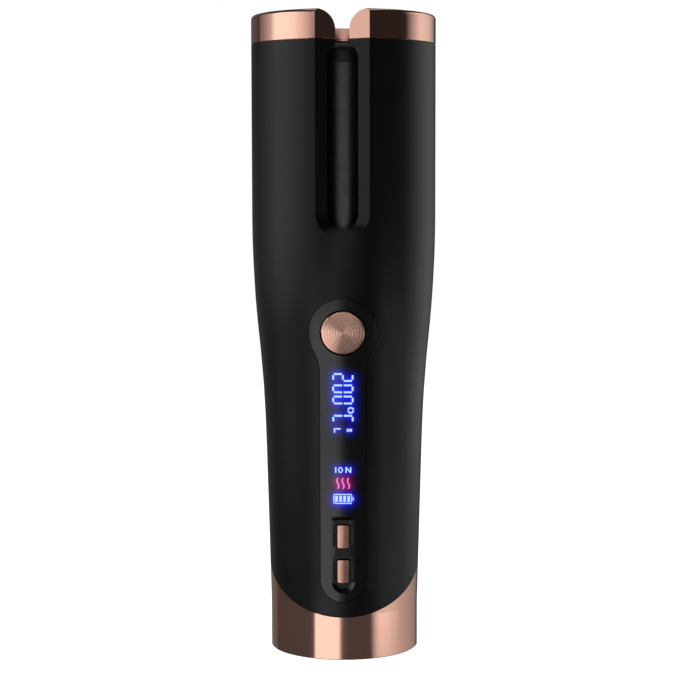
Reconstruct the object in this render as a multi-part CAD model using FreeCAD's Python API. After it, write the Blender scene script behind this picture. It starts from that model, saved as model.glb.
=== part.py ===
import FreeCAD, Part
import math
import os

# Automatic hair curler, cordless. Millimetres. Origin at the middle of the base,
# +Z up the handle, front (slot, panel, keys) facing -Y.

V = FreeCAD.Vector

# ---------------------------------------------------------------- outline of the body
overall_height = 196.5
top_radius = 28.5
base_radius = 22.95
base_flat_z = 14.0        # straight foot of the handle ends here
taper = 0.028             # radius gained per millimetre of height on the handle
waist_z = 66.0            # the handle starts to flare
bend_z = 98.0             # the flare turns from hollow to round
shoulder_z = 136.0        # the barrel of the body is straight above this
shell_wall = 2.2
seam = 0.2                # open line between two outer pieces
half_seam = 0.05          # each shell half stops this far from the joint plane
snug = 0.1                # clearance between nested pieces that do not move
press = 0.02              # clearance of pieces pushed together for good
run = 0.05                # radial clearance of shafts and plungers
part_gap = 0.6            # radial gap between the rotor and what stands still

# ---------------------------------------------------------------- top ring
ring_height = 8.7
ring_lip_height = 5.2     # the lip that covers the rotor's edge
ring_edge = 1.2
ring_lip_edge = 1.2
ring_skirt = 4.0
lobe_round = 5.9
back_dip_radius = 144.0   # the rim falls away behind on this radius

# ---------------------------------------------------------------- hair slot
slot_half = 4.7
slot_bottom = 131.3
slot_below_ring = 1.3     # top of the arch below the ring's seam
gap_half = 2.1
crease_half = 8.1         # where the bevel meets the round body
facet_angle = math.radians(25.1)
toe_drop = 7.3            # height of the bevel's rounded toe
boss_half = 9.6
boss_below = 4.8          # the thick rim round the slot starts this far below it

# ---------------------------------------------------------------- chamber and rotor
rotor_wall = 1.4
boss_gap = 0.4
liner_wall = 1.2
liner_gap = 0.145         # liner to shell, where the liner's floor meets the flare
liner_floor_z = 109.6
liner_floor = 1.6
rotor_floor_z = 112.6
rotor_floor = 2.0
rotor_slot_half = 6.4
rotor_slot_extra = 2.0    # the rotor's slot reaches this far below the body's
rotor_top_gap = 0.5

# ---------------------------------------------------------------- heated barrel
barrel_radius = 14.0
barrel_wall = 1.4
barrel_base_z = 115.4
barrel_flange = 2.0
barrel_below_ring = 6.2   # top edge of the barrel below the ring's seam
tip_height = 5.9
tip_radius = 13.6
tip_round = 2.4
tip_spigot = 2.8
spigot_height = 4.1
nut_flats = 12.0
nut_height = 2.4
ptc_length = 24.0
ptc_width = 15.0
ptc_thick = 2.4
spreader_gap = 0.05
spreader_end_gap = 0.3
spreader_stand = 0.5      # the spreaders start this far above the barrel base's spigot
ptc_stand = 2.5
nut_stand = 0.5
fuse_radius = 1.75
fuse_length = 9.0
bead_radius = 1.2
bead_length = 4.2
fuse_pocket = 18.0        # depth of the fuse's pocket from the spreader's lower end
bead_pocket = 28.0
heater_pocket_y = 8.0

# ---------------------------------------------------------------- post, gears, motor
post_radius = 6.0
post_neck = 5.0
post_bore = 3.4
post_flange_radius = 11.0
post_flange = 2.5
washer_thick = 0.6
axial_play = 0.1          # between the thrust washer and the rotor's bushing
bushing_radius = 8.0
bushing_flange_radius = 9.6
bushing_flange = 1.0
hub_radius = 9.6
hub_seat_radius = 9.0
hub_seat_flat = 8.4
gear_module = 0.6
gear_teeth = 38
pinion_teeth = 12
gear_shift = 0.3          # pinion teeth are moved out, gear teeth in, by this share
gear_backlash = 0.06
gear_face = 5.0
pressure_angle = math.radians(20.0)
motor_width = 12.0
motor_depth = 10.0
motor_length = 15.0
gearbox_length = 9.0
shaft_radius = 1.5
shaft_flat = 1.0
collar_radius = 2.8
collar_height = 2.8
motor_screw_radius = 0.75
motor_screw_head = 1.4
motor_screw_head_height = 0.9
motor_screw_depth = 3.2
motor_screw_x = 4.5
magnet_spot = (7.0, -12.6)
magnet_radius = 1.5
magnet_height = 1.2

# ---------------------------------------------------------------- deck
deck_z = 95.5
deck_thick = 2.5
deck_gap = 0.15
column_radius = 2.3
column_spots = ((17.0, 9.8), (-17.0, 9.8), (16.0, -11.2), (-16.0, -11.2))
post_screw_circle = 8.6
deck_front = 12.8
deck_notch_half = 10.6
ledge_depth = 1.5
ledge_height = 1.9

# ---------------------------------------------------------------- screws
screw_radius = 0.95
screw_head = 1.9
screw_head_height = 1.0
frame_screw_length = 4.8
base_screw_length = 8.0
board_screw_length = 5.6
board_head_height = 1.2
screw_gap = 0.05

# ---------------------------------------------------------------- base
cap_wall = 1.4
cap_front_z = 13.4
cap_side_z = 28.4         # height of the slanted seam at the two sides
cap_bottom = 0.1
cap_chamfer = 0.2
spigot_total = 3.0        # body radius less this is the inside of the lower shell
wall_step_z = 46.0
plate_thick = 2.0
plate_gap = 0.1
foot_inner = 15.0
foot_outer = 18.5
foot_thick = 1.1

# ---------------------------------------------------------------- control panel
panel_thick = 1.6
panel_seam = 0.16
panel_ledge = 1.3
head_radius = 10.3
head_z = 100.4
strip_half = 6.9
strip_bottom = 18.0
blend_radius = 14.0

# ---------------------------------------------------------------- main button
button_radius = 6.5
button_gap = 0.45
button_proud = 0.25
button_disc_thick = 1.2
button_edge = 0.4
groove_count = 7
groove_pitch = 0.87
groove_depth = 0.07
button_depth = 3.2
button_flange_radius = 7.6
button_flange = 0.8
button_stem = 2.0
button_travel = 0.6

# ---------------------------------------------------------------- keys
key_half_width = 1.71
key_half_height = 3.48
key_corner = 0.45
key_centres = (38.20, 27.48)
key_cap_depth = 1.6       # the plated cap, from its face to the black carrier
key_sunk = 0.15
key_gap = 0.3
key_flange_reach = 0.75
key_flange = 0.8
key_stem = 1.4
recess_half = 4.05
recess_top = 44.4
recess_bottom = 20.6
recess_floor_half = 2.52
recess_floor_top = 43.2
recess_floor_bottom = 22.0
recess_depth = 1.1
recess_corner = 0.7
boss_depth = 2.4          # back of the panel's thicker part behind the keys
boss_clear = 0.4          # that thicker part stays this far inside the shell's opening

# ---------------------------------------------------------------- boards and switches
board_front = 14.5        # front face of the display board is at y = -board_front
board_thick = 1.2
board_half = 9.4
board_low = 20.0
board_high = 108.0
board_boss_half = 7.4
board_boss_radius = 1.7
board_boss_heights = (60.0, 80.0)
switch_size = 4.4
switch_thick = 2.4
plunger_radius = 1.2
plunger_front = 18.0      # the plunger's tip is at y = -plunger_front
plunger_length = 2.1
switch_floor = 0.6

# ---------------------------------------------------------------- display
stroke = 0.5
glyph_gap = 0.03
glyph_sunk = 0.05
pen = 0.34                # stroke of the small letters
letter_low = 57.9
letter_high = 59.6
letter_n_left = 0.75
letter_n_right = 2.44
guide_thick = 0.6
guide_half = 4.9
guide_low = 46.4
guide_high = 89.0
light_box_wall = 0.8
light_box_walls = (51.9, 57.1, 65.0)

# ---------------------------------------------------------------- battery and boards
cell_radius = 9.2
cell_length = 65.0
cell_offset = 9.5
cell_z = 11.3
link_thick = 0.3
link_half_width = 3.5
link_half_length = 14.5
tab_half_length = 5.0
holder_floor_z = 9.0
holder_wall = 1.3
holder_radius = 19.7
holder_front = 10.0
holder_plate = 1.8
leg_radius = 2.4
leg_spots = ((12.0, 2.5), (-12.0, 2.5), (0.0, -7.0))
main_board_gap = 0.4
main_board_thick = 1.6
main_board_half = 14.0
main_board_low = 14.0
main_board_high = 68.0
main_screw_heights = (20.0, 62.0)
chip_half = 5.0
chip_low = 34.0
chip_high = 44.0
chip_height = 1.4
connector_spots = (-10.5, 0.0, 10.5)
connector_half = 2.4
connector_low = 50.0
connector_high = 56.0
connector_depth = 3.6
battery_lead_starts = ((7.0, 2.6), (-12.0, 2.6))
sensor_spot = (5.0, 104.6)
sensor_size = (4.0, 1.5, 3.2)
ion_size = (16.0, 9.4, 14.0)
ion_front = 11.4
charge_board_z = 5.4
charge_board_thick = 1.0
charge_board_half = 9.2
charge_board_front = 8.2
charge_board_back = 16.8
charge_tongue_half = 4.8
charge_tongue_back = 19.0
charge_post_spot = (7.0, 11.0)
charge_post_radius = 1.8
charge_pin_radius = 0.8
usb_tongue_half = 3.35
usb_tongue_rise = 0.35
usb_half_width = 4.47
usb_height = 3.2
usb_wall = 0.3
usb_length = 7.4
usb_sunk = 1.65
usb_port_gap = 0.35
lead_radius = 0.6
ribbon_thick = 0.2
ribbon_width = 6.0
ribbon_x = -9.0

# ---------------------------------------------------------------- derived places
waist_radius = base_radius + taper * (waist_z - base_flat_z)
low_run = bend_z - waist_z
high_run = shoulder_z - bend_z
flare = 2.0 * (top_radius - waist_radius - 0.5 * taper * low_run) / (low_run + high_run)
top_z = overall_height
seam_z = top_z - ring_height
ring_lip_z = top_z - ring_lip_height
rotor_top = ring_lip_z - rotor_top_gap
liner_room = top_radius - flare * (shoulder_z - liner_floor_z) ** 2 / (2.0 * high_run) - shell_wall
rotor_outer = liner_room - liner_gap - liner_wall - part_gap
rotor_inner = rotor_outer - rotor_wall
clear_radius = rotor_outer + part_gap
boss_radius = rotor_outer + boss_gap
lip_radius = rotor_inner + 0.2
slot_top = seam_z - slot_below_ring
barrel_top = seam_z - barrel_below_ring
barrel_low = barrel_base_z + barrel_flange
shell_low = cap_bottom + plate_thick + snug
cap_slope = (cap_side_z - cap_front_z) / base_radius
crease_y = -math.sqrt(top_radius ** 2 - crease_half ** 2)
gear_pitch = 0.5 * gear_module * gear_teeth
pinion_pitch = 0.5 * gear_module * pinion_teeth
motor_y = gear_pitch + pinion_pitch
post_top_z = deck_z + deck_thick
washer_top_z = post_top_z + post_flange + washer_thick
gear_low_z = washer_top_z + axial_play + bushing_flange
gear_high_z = gear_low_z + gear_face
cell_top = cell_z + cell_length
holder_back = cell_radius + snug + holder_wall
main_board_y = holder_back + main_board_gap
switch_front = board_front + switch_thick
motor_low = deck_z - gearbox_length - motor_length
nut_z = barrel_low + nut_stand
ptc_low = barrel_low + spigot_height + ptc_stand
spreader_low = barrel_low + spigot_height + spreader_stand
spreader_high = barrel_top - tip_spigot - spreader_end_gap
inner_radius = barrel_radius - barrel_wall - snug


# ================================================================ basic helpers
def body_radius(z):
    """Outer radius of the body at height z."""
    if z <= base_flat_z:
        return base_radius
    if z <= waist_z:
        return base_radius + taper * (z - base_flat_z)
    if z <= bend_z:
        run_up = z - waist_z
        return waist_radius + taper * run_up + (flare - taper) * run_up ** 2 / (2.0 * low_run)
    if z <= shoulder_z:
        return top_radius - flare * (shoulder_z - z) ** 2 / (2.0 * high_run)
    return top_radius


def body_slope(z):
    """How fast the body's radius grows with height at z."""
    step = 0.01
    return (body_radius(z + step) - body_radius(z - step)) / (2.0 * step)


def box(x0, x1, y0, y1, z0, z1):
    return Part.makeBox(x1 - x0, y1 - y0, z1 - z0, V(x0, y0, z0))


def cyl(radius, z0, z1, x=0.0, y=0.0):
    return Part.makeCylinder(radius, z1 - z0, V(x, y, z0))


def tube(outer, inner, z0, z1, x=0.0, y=0.0):
    return cyl(outer, z0, z1, x, y).cut(cyl(inner, z0 - 1.0, z1 + 1.0, x, y))


def cyl_y(radius, x, z, y0, y1):
    """Cylinder along Y from y0 to y1."""
    return Part.makeCylinder(radius, y1 - y0, V(x, y0, z), V(0, 1, 0))


def revolve(points):
    """Solid of revolution of a closed outline given as (radius, z) pairs."""
    corners = [V(r, 0, z) for r, z in points]
    face = Part.Face(Part.makePolygon(corners + [corners[0]]))
    return face.revolve(V(0, 0, 0), V(0, 0, 1), 360)


def body_solid(offset, z0, z1, chamfer=0.0):
    """Solid bounded by the body's outline moved out by offset, from z0 to z1."""
    levels = [z0] + [b for b in (base_flat_z, waist_z, bend_z, shoulder_z) if z0 < b < z1] + [z1]

    def point(z):
        return V(body_radius(z) + offset, 0, z)

    edges = []
    start = point(levels[0])
    if chamfer > 0.0:
        low = V(start.x - chamfer, 0, z0)
        start = V(start.x, 0, z0 + chamfer)
        edges.append(Part.makeLine(V(0, 0, z0), low))
        edges.append(Part.makeLine(low, start))
    else:
        edges.append(Part.makeLine(V(0, 0, z0), start))
    for low_z, high_z in zip(levels[:-1], levels[1:]):
        end = point(high_z)
        middle_z = 0.5 * (low_z + high_z)
        if waist_z <= middle_z <= shoulder_z:
            edges.append(Part.Arc(start, point(middle_z), end).toShape())
        else:
            edges.append(Part.makeLine(start, end))
        start = end
    edges.append(Part.makeLine(start, V(0, 0, z1)))
    edges.append(Part.makeLine(V(0, 0, z1), V(0, 0, z0)))
    return Part.Face(Part.Wire(edges)).revolve(V(0, 0, 0), V(0, 0, 1), 360)


def front_prism(wire, y0, y1):
    """Extrude an outline drawn in (x, z) along Y, from y0 to y1."""
    solid = Part.Face(wire).extrude(V(0, 0, y1 - y0))
    solid.rotate(V(0, 0, 0), V(1, 0, 0), 90)
    solid.translate(V(0, y1, 0))
    return solid


def polygon(points):
    corners = [V(x, z, 0) for x, z in points]
    return Part.makePolygon(corners + [corners[0]])


def rounded_rect(x0, x1, z0, z1, corner):
    """Outline of a rectangle with round corners, in (x, z)."""
    dip = corner * (1.0 - math.sqrt(0.5))
    edges = [
        Part.makeLine(V(x0 + corner, z0, 0), V(x1 - corner, z0, 0)),
        Part.Arc(V(x1 - corner, z0, 0), V(x1 - dip, z0 + dip, 0), V(x1, z0 + corner, 0)).toShape(),
        Part.makeLine(V(x1, z0 + corner, 0), V(x1, z1 - corner, 0)),
        Part.Arc(V(x1, z1 - corner, 0), V(x1 - dip, z1 - dip, 0), V(x1 - corner, z1, 0)).toShape(),
        Part.makeLine(V(x1 - corner, z1, 0), V(x0 + corner, z1, 0)),
        Part.Arc(V(x0 + corner, z1, 0), V(x0 + dip, z1 - dip, 0), V(x0, z1 - corner, 0)).toShape(),
        Part.makeLine(V(x0, z1 - corner, 0), V(x0, z0 + corner, 0)),
        Part.Arc(V(x0, z0 + corner, 0), V(x0 + dip, z0 + dip, 0), V(x0 + corner, z0, 0)).toShape(),
    ]
    return Part.Wire(edges)


def stadium(half, z0, z1):
    """Upright outline with round ends, in (x, z)."""
    low = z0 + half
    high = z1 - half
    edges = [
        Part.Arc(V(-half, low, 0), V(0, z0, 0), V(half, low, 0)).toShape(),
        Part.makeLine(V(half, low, 0), V(half, high, 0)),
        Part.Arc(V(half, high, 0), V(0, z1, 0), V(-half, high, 0)).toShape(),
        Part.makeLine(V(-half, high, 0), V(-half, low, 0)),
    ]
    return Part.Wire(edges)


def on_surface(z):
    """Placement at the front of the body: local X right, local Y up, local Z outward."""
    lean = math.degrees(math.atan(body_slope(z)))
    return FreeCAD.Placement(V(0, -body_radius(z), z), FreeCAD.Rotation(V(1, 0, 0), 90.0 + lean))


def placed(solid, frame):
    moved = solid.copy()
    moved.Placement = frame.multiply(moved.Placement)
    return moved


def fuse_all(solids):
    result = solids[0]
    for solid in solids[1:]:
        result = result.fuse(solid)
    return result.removeSplitter()


def cut_all(solid, cutters):
    for cutter in cutters:
        solid = solid.cut(cutter)
    return solid


def group(solids):
    return Part.makeCompound(solids)


# ================================================================ slot and seam cutters
def facet_y(x):
    """Depth of the slot's flat bevel at distance x from the middle."""
    return crease_y + (crease_half - x) * math.tan(facet_angle)


slot_mouth_half = crease_half + (top_radius + 0.1 + crease_y) / math.tan(facet_angle)
slot_low_centre = slot_bottom + slot_half


def bevel_prism():
    """Upright V that makes the two flat bevels from the slot up to the rim."""
    y_out = -(top_radius + 0.1)
    corners = [(-slot_mouth_half, y_out), (slot_mouth_half, y_out), (0.0, facet_y(0.0))]
    points = [V(x, y, slot_low_centre) for x, y in corners]
    face = Part.Face(Part.makePolygon(points + [points[0]]))
    return face.extrude(V(0, 0, top_z + 2.0 - slot_low_centre))


def bevel_toe():
    """Rounded lower end of the bevel, from a half ellipse outside to a half circle."""
    def half_wire(half, drop, y):
        if half > drop:
            curve = Part.ArcOfEllipse(Part.Ellipse(V(0, 0, 0), half, drop), math.pi, 2.0 * math.pi)
        else:
            curve = Part.Arc(V(-half, 0, 0), V(0, -half, 0), V(half, 0, 0))
        wire = Part.Wire([curve.toShape(), Part.makeLine(V(half, 0, 0), V(-half, 0, 0))])
        wire.rotate(V(0, 0, 0), V(1, 0, 0), 90)
        wire.translate(V(0, y, slot_low_centre))
        return wire
    outer = half_wire(slot_mouth_half, toe_drop, -(top_radius + 0.1))
    inner = half_wire(slot_half, slot_half, facet_y(slot_half))
    return Part.makeLoft([outer, inner], True, True)


def slot_cutters():
    through = front_prism(stadium(slot_half, slot_bottom, slot_top), -top_radius - 5.0, -rotor_inner + 2.0)
    gap = box(-gap_half, gap_half, -top_radius - 5.0, -rotor_inner + 8.0, slot_top - slot_half, top_z + 5.0)
    return [bevel_prism(), bevel_toe(), through, gap]


def below_base_seam(shift=0.0):
    """Everything under the slanted seam of the base cap."""
    def seam_height(y):
        return cap_front_z + cap_slope * (y + base_radius) + shift
    reach = 2.0 * top_radius
    floor = seam_height(-reach) - 10.0
    points = [V(-reach, -reach, floor), V(-reach, -reach, seam_height(-reach)),
              V(-reach, reach, seam_height(reach)), V(-reach, reach, floor)]
    return Part.Face(Part.makePolygon(points + [points[0]])).extrude(V(2.0 * reach, 0, 0))


def keyhole(grow):
    """Outline of the control panel, moved out by grow: round head, blends, strip, round end."""
    head = head_radius + grow
    half = strip_half + grow
    blend = blend_radius - grow
    centre_x = half + blend
    drop = math.sqrt((head + blend) ** 2 - centre_x ** 2)
    blend_z = head_z - drop
    angle_end = math.atan2(drop, -centre_x)
    angle_mid = 0.5 * (math.pi + angle_end)
    low = strip_bottom + strip_half

    def on_blend(angle, side):
        return V(side * (centre_x + blend * math.cos(angle)), blend_z + blend * math.sin(angle), 0)

    edges = [
        Part.Arc(V(-half, low, 0), V(0, low - half, 0), V(half, low, 0)).toShape(),
        Part.makeLine(V(half, low, 0), V(half, blend_z, 0)),
        Part.Arc(V(half, blend_z, 0), on_blend(angle_mid, 1), on_blend(angle_end, 1)).toShape(),
        Part.Arc(on_blend(angle_end, 1), V(0, head_z + head, 0), on_blend(angle_end, -1)).toShape(),
        Part.Arc(on_blend(angle_end, -1), on_blend(angle_mid, -1), V(-half, blend_z, 0)).toShape(),
        Part.makeLine(V(-half, blend_z, 0), V(-half, low, 0)),
    ]
    return Part.Wire(edges)


# ================================================================ casing
def usb_port(grow, y0, y1):
    middle = charge_board_z + charge_board_thick + 0.5 * usb_height
    half = usb_half_width + grow
    rise = 0.5 * usb_height + grow
    wire = rounded_rect(-half, half, middle - rise, middle + rise, rise - 0.05)
    return front_prism(wire, y0, y1)


def shell_tube():
    """Both halves of the black body before they are divided."""
    high = seam_z - seam
    upper = body_solid(0.0, shell_low, high).cut(below_base_seam())
    spigot = body_solid(-(cap_wall + snug), shell_low, wall_step_z + 4.0).common(below_base_seam())
    solid = upper.fuse(spigot)
    solid = solid.cut(body_solid(-spigot_total, shell_low - 1.0, wall_step_z))
    solid = solid.cut(body_solid(-shell_wall, wall_step_z, high + 1.0))
    ledge_top = deck_z - snug
    ledge_low = ledge_top - ledge_height
    ledge = body_solid(-shell_wall + 0.3, ledge_low, ledge_top)
    ledge_inner = body_radius(ledge_low) - shell_wall - ledge_depth
    ledge = ledge.cut(cyl(ledge_inner, ledge_low - 1.0, ledge_top + 1.0))
    ledge = ledge.cut(box(-deck_notch_half, deck_notch_half, -top_radius, 0.0,
                          ledge_low - 1.0, ledge_top + 1.0))
    return solid.fuse(ledge)


def make_front_shell(whole):
    half = whole.common(box(-50.0, 50.0, -50.0, -half_seam, -5.0, top_z + 5.0))
    boss_low = slot_bottom - boss_below
    boss = tube(top_radius - shell_wall + 0.3, boss_radius, boss_low, seam_z - seam)
    boss = boss.common(box(-boss_half, boss_half, -top_radius, -10.0, boss_low, seam_z))
    solid = half.fuse(boss)
    for height in board_boss_heights:
        for side in (-1.0, 1.0):
            post = cyl_y(board_boss_radius, side * board_boss_half, height, -top_radius, -board_front)
            post = post.common(body_solid(-shell_wall + 0.3, height - 5.0, height + 5.0))
            solid = solid.fuse(post)
    for height in board_boss_heights:
        for side in (-1.0, 1.0):
            hole = cyl_y(screw_radius + screw_gap, side * board_boss_half, height,
                         -board_front - board_screw_length, -board_front + 1.0)
            solid = solid.cut(hole)
    pocket = front_prism(keyhole(panel_seam), -top_radius - 5.0, -10.0)
    pocket = pocket.cut(body_solid(-(panel_thick + snug), strip_bottom - 10.0, head_z + 20.0))
    opening = front_prism(keyhole(-panel_ledge), -top_radius - 5.0, -board_front - 1.0)
    return cut_all(solid, [pocket, opening] + slot_cutters())


def make_rear_shell(whole):
    solid = whole.common(box(-50.0, 50.0, half_seam, 50.0, -5.0, top_z + 5.0))
    return solid.cut(usb_port(snug, 10.0, 40.0))


def make_top_ring():
    """Metal-look rim: skirt inside the body, lip over the rotor, notch between two lobes."""
    face_edges = []
    edge = ring_edge
    lip = ring_lip_edge
    skirt_outer = top_radius - shell_wall - snug
    dip = 1.0 - math.sqrt(0.5)
    outline = [
        (clear_radius, seam_z - ring_skirt), (skirt_outer, seam_z - ring_skirt), (skirt_outer, seam_z),
        (top_radius, seam_z), (top_radius, top_z - edge),
    ]
    for first, second in zip(outline[:-1], outline[1:]):
        face_edges.append(Part.makeLine(V(first[0], 0, first[1]), V(second[0], 0, second[1])))
    face_edges.append(Part.Arc(V(top_radius, 0, top_z - edge),
                               V(top_radius - edge * dip, 0, top_z - edge * dip),
                               V(top_radius - edge, 0, top_z)).toShape())
    face_edges.append(Part.makeLine(V(top_radius - edge, 0, top_z), V(lip_radius + lip, 0, top_z)))
    face_edges.append(Part.Arc(V(lip_radius + lip, 0, top_z), V(lip_radius + lip * dip, 0, top_z - lip * dip),
                               V(lip_radius, 0, top_z - lip)).toShape())
    closing = [(lip_radius, top_z - lip), (lip_radius, ring_lip_z), (clear_radius, ring_lip_z),
               (clear_radius, seam_z - ring_skirt)]
    for first, second in zip(closing[:-1], closing[1:]):
        face_edges.append(Part.makeLine(V(first[0], 0, first[1]), V(second[0], 0, second[1])))
    solid = Part.Face(Part.Wire(face_edges)).revolve(V(0, 0, 0), V(0, 0, 1), 360)
    dip_block = box(-40.0, 40.0, 0.0, 40.0, top_z - 10.0, top_z + 5.0)
    dip_block = dip_block.cut(Part.makeCylinder(back_dip_radius, 100.0, V(-50, 0, top_z - back_dip_radius),
                                                V(1, 0, 0)))
    solid = solid.cut(dip_block)
    solid = solid.cut(box(-boss_half - boss_gap, boss_half + boss_gap, -top_radius, 0.0,
                          seam_z - ring_skirt - 1.0, seam_z))
    centre_x = gap_half + lobe_round
    centre_z = top_z - lobe_round
    reach = 3.0
    sweep = [
        Part.makeLine(V(-gap_half, centre_z - reach, 0), V(gap_half, centre_z - reach, 0)),
        Part.makeLine(V(gap_half, centre_z - reach, 0), V(gap_half, centre_z, 0)),
        Part.Arc(V(gap_half, centre_z, 0), V(centre_x - lobe_round * math.sqrt(0.5),
                                             centre_z + lobe_round * math.sqrt(0.5), 0),
                 V(centre_x, top_z, 0)).toShape(),
        Part.makeLine(V(centre_x, top_z, 0), V(centre_x, top_z + reach, 0)),
        Part.makeLine(V(centre_x, top_z + reach, 0), V(-centre_x, top_z + reach, 0)),
        Part.makeLine(V(-centre_x, top_z + reach, 0), V(-centre_x, top_z, 0)),
        Part.Arc(V(-centre_x, top_z, 0), V(-centre_x + lobe_round * math.sqrt(0.5),
                                           centre_z + lobe_round * math.sqrt(0.5), 0),
                 V(-gap_half, centre_z, 0)).toShape(),
        Part.makeLine(V(-gap_half, centre_z, 0), V(-gap_half, centre_z - reach, 0)),
    ]
    notch = front_prism(Part.Wire(sweep), -top_radius - 5.0, -10.0)
    gap = box(-gap_half, gap_half, -top_radius - 5.0, -10.0, seam_z - 10.0, top_z + 5.0)
    return cut_all(solid, [bevel_prism(), notch, gap])


def make_base_cap():
    solid = body_solid(0.0, cap_bottom, wall_step_z + 6.0, cap_chamfer).common(below_base_seam(-seam))
    solid = solid.cut(body_solid(-cap_wall, cap_bottom - 1.0, wall_step_z + 8.0))
    return solid.cut(usb_port(usb_port_gap, 10.0, 40.0))


def make_base_plate():
    solid = cyl(base_radius - cap_wall - plate_gap, cap_bottom, cap_bottom + plate_thick)
    solid = solid.cut(tube(foot_outer + snug, foot_inner - snug, cap_bottom - 1.0, foot_thick))
    for side in (-1.0, 1.0):
        spot = (side * charge_post_spot[0], charge_post_spot[1])
        pin_top = charge_board_z + charge_board_thick + 0.5
        solid = solid.fuse(cyl(charge_post_radius, cap_bottom + plate_thick - 0.2, charge_board_z, *spot))
        solid = solid.fuse(cyl(charge_pin_radius, charge_board_z - 0.5, pin_top, *spot))
    for x, y in leg_spots:
        solid = solid.cut(countersunk(x, y, cap_bottom, 1.0, base_screw_length, screw_gap))
    return solid


def make_base_foot():
    return tube(foot_outer, foot_inner, 0.0, foot_thick)


def countersunk(x, y, z, direction, length, grow=0.0):
    """Countersunk screw with its head's face at z, pointing up (1) or down (-1)."""
    head = Part.makeCone(screw_head + grow, screw_radius + grow, screw_head_height, V(x, y, z),
                         V(0, 0, direction))
    shank = Part.makeCylinder(screw_radius + grow, length + grow, V(x, y, z), V(0, 0, direction))
    return head.fuse(shank).removeSplitter()


# ================================================================ control panel and display
def glyph_bars():
    """Display marks as rectangles (x0, x1, z0, z1); the figures lie on their side."""
    bars = []
    half = 0.5 * stroke
    near = 0.27
    far = 2.70
    end = 2.92
    width = 2.1

    def figure(left_z, segments):
        """Seven-segment figure whose top points to +X and whose left side is at left_z."""
        right_z = left_z - width
        inner_high = left_z - 0.4
        inner_low = right_z + 0.4
        layout = {
            "a": (end - half, end + half, inner_low, inner_high),
            "b": (near, far, right_z - half, right_z + half),
            "c": (-far, -near, right_z - half, right_z + half),
            "d": (-end - half, -end + half, inner_low, inner_high),
            "e": (-far, -near, left_z - half, left_z + half),
            "f": (near, far, left_z - half, left_z + half),
            "g": (-half, half, inner_low, inner_high),
        }
        bars.extend(layout[name] for name in segments)

    figure(88.0, "abged")
    figure(84.55, "abcdef")
    figure(81.15, "abcdef")
    figure(75.3, "adef")
    thin = 0.38
    bars.append((-2.75, -2.75 + thin, 70.15, 71.5))
    bars.append((-2.25, -0.75, 71.5 - thin, 71.5))
    for low in (1.15, 2.30):
        bars.append((low, low + thin, 70.45, 71.3))
    bars.append((1.72, 1.72 + thin, 70.45, 71.3))
    bars.append((-2.40, -2.40 + pen, letter_low, letter_high))
    for left in (-1.50, -0.10 - pen):
        bars.append((left, left + pen, letter_low + pen + 0.1, letter_high - pen - 0.1))
    for low in (letter_low, letter_high - pen):
        bars.append((-1.25, -0.35, low, low + pen))
    for left in (letter_n_left, letter_n_right - pen):
        bars.append((left, left + pen, letter_low, letter_high))
    frame = 0.28
    low_z = 48.4
    high_z = 51.4
    corner = 0.15
    bars.append((-2.95 + corner, 2.70 - corner, low_z, low_z + frame))
    bars.append((-2.95 + corner, 2.70 - corner, high_z - frame, high_z))
    bars.append((-2.95, -2.95 + frame, low_z + frame + corner, high_z - frame - corner))
    bars.append((2.70 - frame, 2.70, low_z + frame + corner, high_z - frame - corner))
    bars.append((2.90, 3.20, 49.4, 50.4))
    for index in range(4):
        left = -2.40 + 1.22 * index
        bars.append((left, left + 0.80, low_z + 0.6, high_z - 0.6))
    return bars


def wave_outline(x, z0, z1, grow):
    """Outline of one upright wavy line."""
    half = 0.5 * 0.34 + grow
    steps = 8
    left = []
    right = []
    for step in range(steps + 1):
        share = step / steps
        z = z0 - grow + (z1 - z0 + 2.0 * grow) * share
        swing = 0.28 * math.sin(2.0 * math.pi * share)
        left.append(V(x + swing - half, z, 0))
        right.append(V(x + swing + half, z, 0))
    left_curve = Part.BSplineCurve()
    left_curve.interpolate(left)
    right_curve = Part.BSplineCurve()
    right_curve.interpolate(right)
    return Part.Wire([left_curve.toShape(), Part.makeLine(left[-1], right[-1]), right_curve.toShape(),
                      Part.makeLine(right[0], left[0])])


def ring_arc(x, z, radius, pen, start, end):
    """Part of a ring as an outline, from angle start to angle end in degrees."""
    inner = radius - 0.5 * pen
    outer = radius + 0.5 * pen

    def at(r, angle):
        return V(x + r * math.cos(math.radians(angle)), z + r * math.sin(math.radians(angle)), 0)

    middle = 0.5 * (start + end)
    return Part.Wire([
        Part.Arc(at(outer, start), at(outer, middle), at(outer, end)).toShape(),
        Part.makeLine(at(outer, end), at(inner, end)),
        Part.Arc(at(inner, end), at(inner, middle), at(inner, start)).toShape(),
        Part.makeLine(at(inner, start), at(outer, start)),
    ])


def glyph_prisms(grow, y0, y1):
    """All display marks as solids along Y, each side moved out by grow."""
    solids = [box(a - grow, b + grow, y0, y1, c - grow, d + grow) for a, b, c, d in glyph_bars()]
    for x in (-1.6, 0.0, 1.6):
        solids.append(front_prism(wave_outline(x, 53.0, 56.3, grow), y0, y1))
    for start in (10.0, 190.0):
        spread = math.degrees(grow / 0.78)
        wire = ring_arc(2.35, 76.95, 0.78, 0.42 + 2.0 * grow, start - spread, start + 160.0 + spread)
        solids.append(front_prism(wire, y0, y1))
    half = 0.55 * pen + grow
    top_x = letter_n_left + 0.5 * pen
    low_x = letter_n_right - 0.5 * pen
    slant = [(top_x - half, letter_high + grow), (top_x + half, letter_high + grow),
             (low_x + half, letter_low - grow), (low_x - half, letter_low - grow)]
    solids.append(front_prism(polygon(slant), y0, y1))
    return solids


def key_prism(centre, grow, y0, y1):
    wire = rounded_rect(-key_half_width - grow, key_half_width + grow, centre - key_half_height - grow,
                        centre + key_half_height + grow, key_corner + grow)
    return front_prism(wire, y0, y1)


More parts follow.
